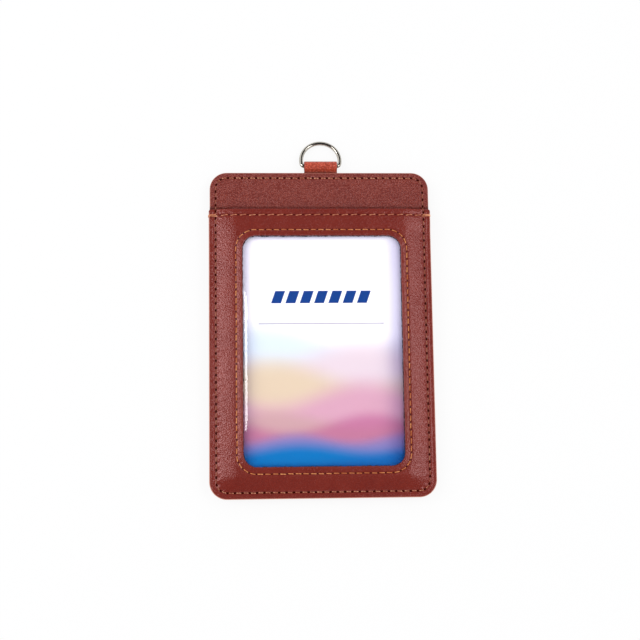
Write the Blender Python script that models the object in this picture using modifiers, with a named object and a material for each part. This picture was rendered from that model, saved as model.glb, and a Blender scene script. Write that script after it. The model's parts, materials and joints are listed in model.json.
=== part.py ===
"""Vertical leather badge holder with a clear window, a card that slides out and a swinging D-ring.

Metres. The holder lies on its back: +Z comes out of the front, +Y points to the ring, and the
origin is the middle of the flat back face.
"""

import math

import bmesh
import bpy

# The card that the holder is made for
card_width = 0.0600
card_height = 0.0900
card_thickness = 0.0005
card_corner_radius = 0.0020

# Room round the card, from its edges out to the seams and up to the mouth
card_side_room = 0.0052
card_bottom_room = 0.0029
card_below_mouth = 0.0018
top_band_height = 0.0132

# Sheet goods
leather = 0.0008
core_thickness = 0.0008
film_thickness = 0.0003
ply_gap = 0.0003

# Outline of the sewn plies
corner_radius = 0.0058
cover_overhang = 0.0003
edge_rounding = 0.0003

# Seams: how far in from the edge they run, and the pressed line that the thread lies in
seam_inset_side = 0.0023
seam_inset_bottom = 0.0021
seam_inset_top = 0.00185
mouth_seam_inset = 0.00196
seam_turn_radius = 0.0008
groove_width = 0.0011
groove_floor_width = 0.0006
groove_depth = 0.00045
thread_diameter = 0.0004
thread_clearance = 0.0002

# Window and its film
window_lap_side = 0.0031
window_lap_bottom = 0.0056
window_lap_top = 0.0073
window_corner_radius = 0.0045
window_shift = 0.0003
window_seam_margin_side = 0.00185
window_seam_margin_bottom = 0.0025
window_seam_margin_top = 0.0020
film_crown = 0.0005
film_shoulder = 0.0030
film_edge_clearance = 0.0003
film_corner_radius = 0.0030
film_below_hem = 0.0005

# Turned hem at the mouth
hem_width = 0.0045
hem_ply = 0.0004
hem_setback = 0.00015
hem_ramp = 0.0040
mouth_corner_radius = 0.0008
rise_margin = 0.0005

# Slot on the back
pocket_mouth_drop = 0.0240
notch_radius = 0.0090
notch_shoulder_radius = 0.0020

# Strap and D-ring
strap_width = 0.0112
strap_leather = 0.0007
strap_tail_depth = 0.0120
strap_neck = 0.00073
strap_flare_radius = 0.0005
strap_side_gap = 0.0004
strap_centre = 0.0006
wire_diameter = 0.0013
wire_clearance = 0.0003
ring_radius = 0.0066
ring_bar_offset = 0.00205
ring_bend_radius = 0.0011
ring_floor_gap = 0.0003

# How finely round shapes are cut
corner_steps = 6
arc_step_degrees = 12

# Places along the sides of a loop, from one corner's arc to the next
plain_shares = (0.5,)
mouth_end_shares = (0.020, 0.045, 0.066, 0.090, 0.300)
rise_ring_shares = (0.13, 0.27, 0.40, 0.60, 0.80)

# The film's dome: how far in from its foot, and how high, each loop lies
dome_run_shares = (0, 0.35, 0.70, 1)
dome_rise_shares = (0, 0.60, 0.92, 1)

# Heights of the plies, from the back face up
back_low = leather + ply_gap
core_low = back_low + leather + ply_gap
centre_low = core_low + core_thickness + ply_gap
centre_high = centre_low + leather
card_low = centre_high + ply_gap
rim_low = centre_high + ply_gap
film_low = card_low + card_thickness + ply_gap
cover_rise = card_thickness + max(film_thickness, hem_ply) + 2 * ply_gap

# Plan of the front, from the middle of the outline
cover_half = card_width / 2 + card_side_room + seam_inset_side
body_height = seam_inset_bottom + card_bottom_room + card_height + card_below_mouth + top_band_height
top_edge = body_height / 2
bottom_edge = -body_height / 2
ply_half = cover_half - cover_overhang
ply_bottom = bottom_edge + cover_overhang
mouth = top_edge - top_band_height
card_top = mouth - card_below_mouth
card_bottom = card_top - card_height
seam_side = cover_half - seam_inset_side
seam_top = top_edge - seam_inset_top
seam_bottom = bottom_edge + seam_inset_bottom
mouth_seam = mouth - mouth_seam_inset
hem_low = mouth - hem_width
groove_half = groove_width / 2
floor_half = groove_floor_width / 2
thread_radius = thread_diameter / 2
thread_seat = thread_clearance + thread_radius

# Strap and ring places that follow from the sizes above
strap_half = strap_width / 2
strap_tail_half = core_thickness / 2
strap_level = core_low + strap_tail_half
channel_radius = wire_diameter / 2 + wire_clearance
loop_radius = channel_radius + strap_leather
flare_reach = math.sqrt((loop_radius + strap_flare_radius) ** 2 - (strap_tail_half + strap_flare_radius) ** 2)
ring_axis = top_edge + strap_neck + flare_reach
ring_drop = strap_level - wire_diameter / 2 - ring_floor_gap
ring_droop = math.asin(ring_drop / (ring_bar_offset + ring_radius))


class Box:
    """A rectangle with rounded corners in plan, which can be grown or moved towards another."""

    def __init__(self, left, right, bottom, top, low_radius, high_radius):
        self.sides = (left, right, bottom, top, low_radius, high_radius)

    def grown(self, side, low=None, high=None):
        """The box with its sides moved out, its corners keeping their centres."""
        low = side if low is None else low
        high = side if high is None else high
        left, right, bottom, top, low_radius, high_radius = self.sides
        return Box(left - side, right + side, bottom - low, top + high, low_radius + low, high_radius + high)

    def towards(self, other, share):
        """The box a share of the way to another box."""
        return Box(*(a + (b - a) * share for a, b in zip(self.sides, other.sides)))

    def points(self, side_shares=plain_shares, end_shares=plain_shares):
        """Plan points, anticlockwise from the low right corner."""
        left, right, bottom, top, low_radius, high_radius = self.sides
        corners = (
            (right - low_radius, bottom + low_radius, low_radius, side_shares),
            (right - high_radius, top - high_radius, high_radius, end_shares),
            (left + high_radius, top - high_radius, high_radius, [1 - s for s in reversed(side_shares)]),
            (left + low_radius, bottom + low_radius, low_radius, end_shares),
        )
        arcs = []
        for quarter, (x, y, radius, _) in enumerate(corners):
            turns = [(quarter - 1 + i / corner_steps) * math.pi / 2 for i in range(corner_steps + 1)]
            arcs.append([(x + radius * math.cos(t), y + radius * math.sin(t)) for t in turns])
        found = []
        for quarter, arc in enumerate(arcs):
            ax, ay = arc[-1]
            bx, by = arcs[(quarter + 1) % 4][0]
            found += arc
            found += [(ax + (bx - ax) * s, ay + (by - ay) * s) for s in corners[quarter][3]]
        return found


def smooth_step(value):
    """0 below 0, 1 above 1, and an S-curve between."""
    value = min(max(value, 0), 1)
    return value * value * (3 - 2 * value)


def cover_under(x, y):
    """Height of the window panel's underside: low at the sewn rim, high over the card.

    It climbs from the seam to just outside the card's edge, and the rim itself climbs towards
    the mouth, where the turned ply lies under it.
    """
    side = (seam_side - abs(x)) / (card_side_room - rise_margin)
    low = (y - seam_bottom) / (card_bottom_room - rise_margin)
    over_card = smooth_step(1 - math.hypot(max(1 - side, 0), max(1 - low, 0)))
    rim = hem_ply * smooth_step((y - hem_low + hem_ramp) / hem_ramp)
    return rim_low + rim + (cover_rise - rim) * over_card


def cover_top(x, y):
    """Height of the window panel's face, away from its pressed lines."""
    return cover_under(x, y) + leather


def material(name, colour, roughness, metallic=0, alpha=1):
    """A plain finish in the part's own colour."""
    finish = bpy.data.materials.new(name)
    finish.use_nodes = True
    shader = finish.node_tree.nodes["Principled BSDF"]
    shader.inputs["Base Color"].default_value = (*colour, 1)
    shader.inputs["Roughness"].default_value = roughness
    shader.inputs["Metallic"].default_value = metallic
    shader.inputs["Alpha"].default_value = alpha
    return finish


def place(name, mesh, finish, collection):
    """A mesh as a named object of the holder, shaded smooth between its creases."""
    part = bpy.data.objects.new(name, mesh)
    mesh.materials.append(finish)
    mesh.shade_smooth()
    mesh.set_sharp_from_angle(angle=math.radians(35))
    collection.objects.link(part)
    return part


def ring_mesh(name, loops, capped):
    """Loops of points skinned in order; capped at both ends, or closed from the last to the first."""
    count = len(loops[0])
    points = [point for ring in loops for point in ring]
    last = len(loops) - 1 if capped else len(loops)
    faces = []
    for k in range(last):
        low = k * count
        high = (k + 1) % len(loops) * count
        for i in range(count):
            j = (i + 1) % count
            faces.append((low + i, low + j, high + j, high + i))
    if capped:
        faces.append(tuple(range(count - 1, -1, -1)))
        faces.append(tuple(range(last * count, len(points))))
    mesh = bpy.data.meshes.new(name)
    mesh.from_pydata(points, [], faces)
    return mesh


def curve_mesh(name, curve):
    """The mesh of a curve, with the loose edges of its caps welded."""
    guide = bpy.data.objects.new(name + "_curve", curve)
    bpy.context.scene.collection.objects.link(guide)
    bpy.context.view_layer.update()
    mesh = bpy.data.meshes.new_from_object(guide.evaluated_get(bpy.context.evaluated_depsgraph_get()))
    mesh.name = name
    work = bmesh.new()
    work.from_mesh(mesh)
    bmesh.ops.remove_doubles(work, verts=work.verts, dist=ply_gap / 100)
    work.to_mesh(mesh)
    work.free()
    bpy.data.objects.remove(guide)
    return mesh


def outline_mesh(name, outlines, thickness):
    """A flat sheet from closed outlines, the second and later ones being holes, about its mid plane."""
    curve = bpy.data.curves.new(name, "CURVE")
    curve.dimensions = "2D"
    curve.fill_mode = "BOTH"
    curve.extrude = thickness / 2
    for outline in outlines:
        spline = curve.splines.new("POLY")
        spline.points.add(len(outline) - 1)
        spline.use_cyclic_u = True
        for point, (x, y) in zip(spline.points, outline):
            point.co = (x, y, 0, 1)
    return curve_mesh(name, curve)


def wire_mesh(name, route, diameter, closed, resolution):
    """A round wire or thread along a route."""
    curve = bpy.data.curves.new(name, "CURVE")
    curve.dimensions = "3D"
    curve.bevel_depth = diameter / 2
    curve.bevel_resolution = resolution
    curve.use_fill_caps = True
    spline = curve.splines.new("POLY")
    spline.points.add(len(route) - 1)
    spline.use_cyclic_u = closed
    for point, place_of in zip(spline.points, route):
        point.co = (*place_of, 1)
    return curve_mesh(name, curve)


def sheet(name, outline, low, thickness, finish, collection, rounding=0):
    """A flat ply lying at a height, its edges rounded over where a rounding is given."""
    part = place(name, outline_mesh(name, [outline], thickness), finish, collection)
    part.location.z = low + thickness / 2
    if rounding:
        bevel = part.modifiers.new("rounded_edges", "BEVEL")
        bevel.width = rounding
        bevel.segments = 2
        bevel.limit_method = "ANGLE"
        bevel.angle_limit = math.radians(40)
    return part


def arc(x, y, radius, start, end):
    """Points along an arc in plan, from one angle to another, in radians."""
    steps = max(2, math.ceil(abs(end - start) / math.radians(arc_step_degrees)))
    turns = [start + (end - start) * i / steps for i in range(steps + 1)]
    return [(x + radius * math.cos(t), y + radius * math.sin(t)) for t in turns]


cover_box = Box(-cover_half, cover_half, bottom_edge, mouth, corner_radius, mouth_corner_radius)
seam_box = Box(
    -seam_side,
    seam_side,
    seam_bottom,
    mouth_seam,
    corner_radius - seam_inset_bottom,
    seam_turn_radius,
)
ply_box = Box(-ply_half, ply_half, ply_bottom, top_edge, corner_radius, corner_radius)
ply_seam_box = Box(
    -seam_side,
    seam_side,
    seam_bottom,
    seam_top,
    corner_radius - seam_inset_bottom,
    corner_radius - seam_inset_top,
)
card_box = Box(
    -card_width / 2,
    card_width / 2,
    card_bottom,
    card_top,
    card_corner_radius,
    card_corner_radius,
)
window_box = Box(
    window_shift - card_width / 2 + window_lap_side,
    window_shift + card_width / 2 - window_lap_side,
    card_bottom + window_lap_bottom,
    card_top - window_lap_top,
    window_corner_radius,
    window_corner_radius,
)
window_seam_box = window_box.grown(
    window_seam_margin_side, window_seam_margin_bottom, window_seam_margin_top
)


def cover_shares():
    """Places along the cover's sides and ends where its height starts or stops changing."""
    straight = mouth - mouth_corner_radius - bottom_edge - corner_radius
    ramp = [(hem_low - hem_ramp * part - bottom_edge - corner_radius) / straight for part in (1, 0.5, 0)]
    side = [ramp[0] * i / 4 for i in range(1, 4)] + ramp
    end = [*mouth_end_shares, 0.5, *[1 - s for s in reversed(mouth_end_shares)]]
    return side, end


def pressed_line(box, half_width, floor):
    """The four loops of a pressed seam line about a box, from outside in, with their depths."""
    return [
        (box.grown(half_width), 0),
        (box.grown(floor), groove_depth),
        (box.grown(-floor), groove_depth),
        (box.grown(-half_width), 0),
    ]


def build_window_panel(finish, collection):
    """Front leather: sewn rim, climb over the card, window with a rounded edge, and a turned hem."""
    side_shares, end_shares = cover_shares()
    rim_inner = seam_box.grown(-groove_half)
    window_outer = window_seam_box.grown(groove_half)
    rise_boxes = [rim_inner.towards(window_outer, share) for share in rise_ring_shares]
    half_round = edge_rounding * (1 - math.sqrt(0.5))

    def ring(box, height, lift=0):
        return [(x, y, height(x, y) + lift) for x, y in box.points(side_shares, end_shares)]

    loops = [ring(window_box, cover_under), ring(window_outer, cover_under)]
    loops += [ring(box, cover_under) for box in reversed(rise_boxes)]
    loops += [ring(rim_inner, cover_under), ring(cover_box.grown(-edge_rounding), cover_under)]
    loops += [ring(cover_box, cover_under, edge_rounding), ring(cover_box, cover_top, -edge_rounding)]
    loops += [ring(cover_box.grown(-half_round), cover_top, -half_round)]
    loops += [ring(cover_box.grown(-edge_rounding), cover_top)]
    loops += [ring(box, cover_top, -depth) for box, depth in pressed_line(seam_box, groove_half, floor_half)]
    loops += [ring(box, cover_top) for box in rise_boxes]
    seam_loops = pressed_line(window_seam_box, groove_half, floor_half)
    loops += [ring(box, cover_top, -depth) for box, depth in seam_loops]
    loops += [ring(window_box.grown(edge_rounding), cover_top)]
    loops += [ring(window_box.grown(half_round), cover_top, -half_round)]
    loops += [ring(window_box, cover_top, -edge_rounding)]
    panel = place("window_panel", ring_mesh("window_panel", loops, False), finish, collection)
    turned_ply = build_turned_ply(finish)
    join = panel.modifiers.new("turned_hem", "BOOLEAN")
    join.operation = "UNION"
    join.solver = "EXACT"
    join.object = turned_ply
    return panel


def build_turned_ply(finish):
    """The ply turned in under the mouth, which the window panel is joined with."""
    reach = cover_half - hem_setback
    climb = card_side_room - rise_margin
    inner = [seam_side - climb * part for part in (0, 0.2, 0.4, 0.6, 0.8, 1)]
    stations = [-reach, *[-x for x in inner], *reversed(inner), reach]
    front = mouth - hem_setback
    loops = []
    for x in stations:
        under = cover_under(x, mouth)
        low = under - hem_ply
        high = under + leather / 4
        loops.append([(x, hem_low, low), (x, front, low), (x, front, high), (x, hem_low, high)])
    ply = bpy.data.objects.new("turned_ply", ring_mesh("turned_ply", loops, True))
    ply.data.materials.append(finish)
    ply.hide_render = True
    ply.display_type = "WIRE"
    bpy.data.collections["cutters"].objects.link(ply)
    return ply


def build_centre_panel(finish, collection):
    """The ply behind the pocket, whose top band shows and carries the top of the edge seam."""
    start = ply_bottom + corner_radius
    straight = top_edge - corner_radius - start
    side_shares = [0.5] + [(y - start) / straight for y in (mouth_seam, mouth - mouth_seam_inset / 4)]

    def ring(box, height, depth=0):
        return [
            (x, y, height - (depth if y > mouth - mouth_seam_inset / 2 else 0))
            for x, y in box.points(side_shares, plain_shares)
        ]

    inset = ply_box.grown(-edge_rounding)
    loops = [ring(inset, centre_low), ring(ply_box, centre_low + edge_rounding)]
    loops += [ring(ply_box, centre_high - edge_rounding), ring(inset, centre_high)]
    seam_loops = pressed_line(ply_seam_box, groove_half, floor_half)
    loops += [ring(box, centre_high, depth) for box, depth in seam_loops]
    return place("centre_panel", ring_mesh("centre_panel", loops, True), finish, collection)


def build_window_film(finish, collection):
    """Clear film: a flat flange under the leather and a low dome that fills the window."""
    flange = Box(
        -card_width / 2,
        card_width / 2,
        card_bottom,
        hem_low - film_below_hem,
        film_corner_radius,
        film_corner_radius,
    )
    foot = window_box.grown(-film_edge_clearance)
    shares = zip(dome_run_shares, dome_rise_shares)
    steps = [(foot.grown(-film_shoulder * run), film_crown * rise) for run, rise in shares]

    def ring(box, height):
        return [(x, y, height) for x, y in box.points()]

    loops = [ring(box, film_low + lift) for box, lift in reversed(steps)]
    loops += [ring(flange, film_low), ring(flange, film_low + film_thickness)]
    loops += [ring(box, film_low + film_thickness + lift) for box, lift in steps]
    return place("window_film", ring_mesh("window_film", loops, True), finish, collection)


def build_insert_card(finish, collection):
    """Paper insert, free to slide out at the mouth."""
    return sheet("insert_card", card_box.points(), card_low, card_thickness, finish, collection)


def build_core_board(finish, collection):
    """Stiffening board, cut out at the top for the strap's tail."""
    cut_half = strap_half + strap_side_gap
    cut_low = top_edge - strap_tail_depth - strap_side_gap
    outline = ply_box.points()
    across = 2 * (corner_steps + 1) + len(plain_shares)
    cut = [
        (strap_centre + cut_half, top_edge),
        (strap_centre + cut_half, cut_low),
        (strap_centre - cut_half, cut_low),
        (strap_centre - cut_half, top_edge),
    ]
    outline[across : across + 1] = cut
    return sheet("core_board", outline, core_low, core_thickness, finish, collection)


def build_back_panel(finish, collection):
    """The plain back ply."""
    return sheet("back_panel", ply_box.points(), back_low, leather, finish, collection, edge_rounding)


def build_back_pocket_panel(finish, collection):
    """Outer ply of the slot on the back, with a half-round thumb notch at its mouth."""
    slot_mouth = top_edge - pocket_mouth_drop
    reach = math.sqrt((notch_radius + notch_shoulder_radius) ** 2 - notch_shoulder_radius**2)
    tilt = math.asin(notch_shoulder_radius / (notch_radius + notch_shoulder_radius))
    shoulder = slot_mouth - notch_shoulder_radius
    corner_side = ply_half - corner_radius
    outline = arc(corner_side, ply_bottom + corner_radius, corner_radius, -math.pi / 2, 0)
    outline += [(ply_half, slot_mouth)]
    outline += arc(reach, shoulder, notch_shoulder_radius, math.pi / 2, math.pi - tilt)
    outline += arc(0, slot_mouth, notch_radius, -tilt, tilt - math.pi)[1:-1]
    outline += arc(-reach, shoulder, notch_shoulder_radius, tilt, math.pi / 2)
    outline += [(-ply_half, slot_mouth)]
    outline += arc(-corner_side, ply_bottom + corner_radius, corner_radius, math.pi, 1.5 * math.pi)
    return sheet("back_pocket_panel", outline, 0, leather, finish, collection, edge_rounding)


def build_strap_loop(finish, collection):
    """Folded strap: a loop round the ring's bar that flares out of a flat tail.

    Its outline is drawn along Y and Z about the bar's axis and carried across X.
    """
    tangent = math.atan2(strap_tail_half + strap_flare_radius, -flare_reach)
    flare_level = strap_tail_half + strap_flare_radius
    tail_end = -(ring_axis - top_edge + strap_tail_depth)
    outline = [(tail_end, -strap_tail_half)]
    outline += arc(-flare_reach, -flare_level, strap_flare_radius, math.pi / 2, math.pi - tangent)
    outline += arc(0, 0, loop_radius, -tangent, tangent)
    outline += arc(-flare_reach, flare_level, strap_flare_radius, tangent - math.pi, -math.pi / 2)
    outline += [(tail_end, strap_tail_half)]
    channel = arc(0, 0, channel_radius, 0, -2 * math.pi)[:-1]
    mesh = outline_mesh("strap_loop", [outline, channel], strap_width)
    strap = place("strap_loop", mesh, finish, collection)
    strap.location = (strap_centre, ring_axis, strap_level)
    strap.rotation_euler = (math.pi / 2, 0, math.pi / 2)
    return strap


def build_d_ring(finish, collection):
    """Bent wire: a straight bar in the strap, tight bends beside it and a round bow.

    Drawn flat with the bar's axis through the origin, then let down until the bow lies on the
    surface that the holder lies on.
    """
    centre = ring_bar_offset
    bend_level = ring_bend_radius
    bend_side = math.sqrt((ring_radius - ring_bend_radius) ** 2 - (centre - bend_level) ** 2)
    meeting = math.atan2(bend_level - centre, bend_side)
    route = arc(0, centre, ring_radius, meeting, math.pi - meeting)
    route += arc(-bend_side, bend_level, ring_bend_radius, math.pi - meeting, 1.5 * math.pi)[1:]
    route += arc(bend_side, bend_level, ring_bend_radius, -math.pi / 2, meeting)[:-1]
    wire = wire_mesh("d_ring", [(x, y, 0) for x, y in route], wire_diameter, True, 2)
    ring = place("d_ring", wire, finish, collection)
    ring.location = (strap_centre, ring_axis, strap_level)
    ring.rotation_euler.x = -ring_droop
    return ring


def build_edge_seam_thread(finish, collection):
    """One thread round the whole edge: up the cover's sides, over its mouth and round the top band."""
    pressed = thread_seat - groove_depth
    side_end = mouth_seam - seam_turn_radius
    over_mouth = cover_top(seam_side, mouth) + thread_seat
    over_start = mouth_seam - seam_turn_radius / 2
    front = mouth + thread_clearance + thread_diameter
    band_level = centre_high + pressed

    def along_cover(part):
        return [(x, y, cover_top(x, y) + pressed) for x, y in part if y < side_end]

    def over_edge(x):
        return [(x, over_start, over_mouth), (x, front, over_mouth), (x, front, band_level)]

    around = seam_box.points(*cover_shares())
    half = len(around) // 2
    band = [(x, y, band_level) for x, y in ply_seam_box.points() if y > front + thread_diameter]
    route = along_cover(around[:half]) + over_edge(seam_side) + band
    route += over_edge(-seam_side)[::-1] + along_cover(around[half:])
    wire = wire_mesh("edge_seam_thread", route, thread_diameter, True, 1)
    return place("edge_seam_thread", wire, finish, collection)


def build_mouth_seam_thread(finish, collection):
    """Thread of the seam that holds the hem, from one edge seam to the other."""
    pressed = thread_seat - groove_depth
    row_half = seam_side - seam_turn_radius
    places = [row_half - 2 * row_half * share for share in (0, *cover_shares()[1], 1)]
    route = [(x, mouth_seam, cover_top(x, mouth_seam) + pressed) for x in places]
    wire = wire_mesh("mouth_seam_thread", route, thread_diameter, False, 1)
    return place("mouth_seam_thread", wire, finish, collection)


def build_window_seam_thread(finish, collection):
    """Thread round the window, which holds the film to the leather."""
    pressed = thread_seat - groove_depth
    route = [(x, y, cover_top(x, y) + pressed) for x, y in window_seam_box.points()]
    wire = wire_mesh("window_seam_thread", route, thread_diameter, True, 1)
    return place("window_seam_thread", wire, finish, collection)


def main():
    for old in list(bpy.data.objects):
        bpy.data.objects.remove(old)
    holder = bpy.data.collections.new("badge_holder")
    cutters = bpy.data.collections.new("cutters")
    bpy.context.scene.collection.children.link(holder)
    bpy.context.scene.collection.children.link(cutters)
    build_window_panel(material("cover_leather", (0.24, 0.052, 0.038), 0.45), holder)
    build_window_film(material("clear_film", (0.90, 0.92, 0.96), 0.08, alpha=0.35), holder)
    build_insert_card(material("printed_paper", (0.78, 0.70, 0.82), 0.60), holder)
    build_centre_panel(material("band_leather", (0.23, 0.048, 0.038), 0.45), holder)
    build_core_board(material("grey_board", (0.32, 0.27, 0.22), 0.85), holder)
    build_back_panel(material("back_leather", (0.22, 0.045, 0.036), 0.50), holder)
    build_back_pocket_panel(material("slot_leather", (0.22, 0.045, 0.036), 0.48), holder)
    build_strap_loop(material("strap_leather", (0.40, 0.066, 0.040), 0.50), holder)
    build_d_ring(material("nickel_wire", (0.66, 0.65, 0.62), 0.12, metallic=1), holder)
    build_edge_seam_thread(material("edge_thread", (0.42, 0.18, 0.07), 0.70), holder)
    build_mouth_seam_thread(material("mouth_thread", (0.52, 0.24, 0.12), 0.70), holder)
    build_window_seam_thread(material("window_thread", (0.46, 0.20, 0.07), 0.70), holder)


main()
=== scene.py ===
"""Vertical leather badge holder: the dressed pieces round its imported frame, and a plain studio.

Metres, in the frame's own axes. The holder lies on its back: +Z comes out of the front and +Y points
to the ring. Every surface is worked out as whole numpy arrays: loops of points in plan, given heights
by a formula, and skinned in order.
"""

import json
import logging
import math
from collections.abc import Callable
from dataclasses import dataclass, replace
from enum import Enum
from functools import partial

import bpy
import numpy as np
from mathutils import Euler, Matrix, Vector


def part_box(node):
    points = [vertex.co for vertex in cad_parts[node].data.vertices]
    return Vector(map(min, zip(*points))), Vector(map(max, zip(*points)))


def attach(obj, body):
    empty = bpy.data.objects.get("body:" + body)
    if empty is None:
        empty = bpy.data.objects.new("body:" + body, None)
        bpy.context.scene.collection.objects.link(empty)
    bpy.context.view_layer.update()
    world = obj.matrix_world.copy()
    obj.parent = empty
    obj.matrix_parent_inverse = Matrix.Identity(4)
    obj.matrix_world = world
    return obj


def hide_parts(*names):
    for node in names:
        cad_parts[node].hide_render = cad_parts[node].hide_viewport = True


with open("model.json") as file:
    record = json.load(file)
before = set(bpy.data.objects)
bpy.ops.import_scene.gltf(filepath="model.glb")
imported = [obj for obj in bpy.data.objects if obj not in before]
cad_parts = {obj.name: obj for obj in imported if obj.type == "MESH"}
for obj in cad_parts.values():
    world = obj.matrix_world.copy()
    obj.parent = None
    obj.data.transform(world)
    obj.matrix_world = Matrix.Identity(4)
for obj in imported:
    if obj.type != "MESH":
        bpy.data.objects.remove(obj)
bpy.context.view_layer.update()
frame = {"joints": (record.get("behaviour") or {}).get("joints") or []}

log = logging.getLogger("badge_holder")

MM = 0.001
FULL_TURN = 2 * math.pi
FLOOR_CLEARANCE = 0.02 * MM

S_CURVE = {"interpolation_type": "SMOOTHSTEP"}
COLOURS = {"data_type": "RGBA"}

Formula = Callable[[np.ndarray, np.ndarray], np.ndarray]
Socket = bpy.types.NodeSocket
Outputs = bpy.types.bpy_prop_collection
AddNode = Callable[..., Outputs]


class Body(Enum):
    """The bodies of the frame that pieces ride on."""

    HOLDER = "holder"
    RING = "ring"
    CARD = "card"


class Slot(Enum):
    """The record's material slots."""

    BODY_LEATHER = "body_leather"
    STRAP_LEATHER = "strap_leather"
    CORE_BOARD = "core_board"
    CLEAR_FILM = "clear_film"
    PRINTED_PAPER = "printed_paper"
    RING_METAL = "ring_metal"
    SEAM_THREAD = "seam_thread"


def smooth_step(value: np.ndarray) -> np.ndarray:
    """An S-curve that is 0 below 0 and 1 above 1: t squared times (3 - 2t).

    Args:
        value: the places along the step.

    Returns:
        The step's height at each place.
    """
    share = np.clip(value, 0, 1)
    return share * share * (3 - 2 * share)


def bump_at(distance: np.ndarray, width: float) -> np.ndarray:
    """A bell curve, 1 at no distance: e to the minus (distance / width) squared.

    Args:
        distance: the distances from the bump's middle.
        width: the distance at which it has fallen to 1/e.

    Returns:
        The bell's height at each distance.
    """
    return np.exp(-((distance / width) ** 2))


def waviness(x: np.ndarray, y: np.ndarray, length: float, seed: float) -> np.ndarray:
    """A slow unevenness between -1 and 1: the mean of five sine waves that cross at unlike angles.

    Args:
        x: places across.
        y: places along.
        length: the mean wave length.
        seed: a phase that makes one sheet unlike another.

    Returns:
        The unevenness at each place.
    """
    total = np.zeros_like(x)
    for wave in range(5):
        angle = 1.1 + 2.4 * wave + seed
        pace = FULL_TURN / length * (0.7 + 0.17 * wave)
        total += np.sin((x * math.cos(angle) + y * math.sin(angle)) * pace + 1.7 * wave * wave + 3 * seed)
    return total / 5


def arc(x: float, y: float, radius: float, turn: np.ndarray) -> np.ndarray:
    """Points on the circle about (x, y), at the given angles, as an array of N by 2."""
    return np.stack([x + radius * np.cos(turn), y + radius * np.sin(turn)], 1)


@dataclass(frozen=True)
class Spans:
    """How many steps a loop takes over each corner, across each end and along each side."""

    corner: int
    end: int
    side: int


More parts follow.
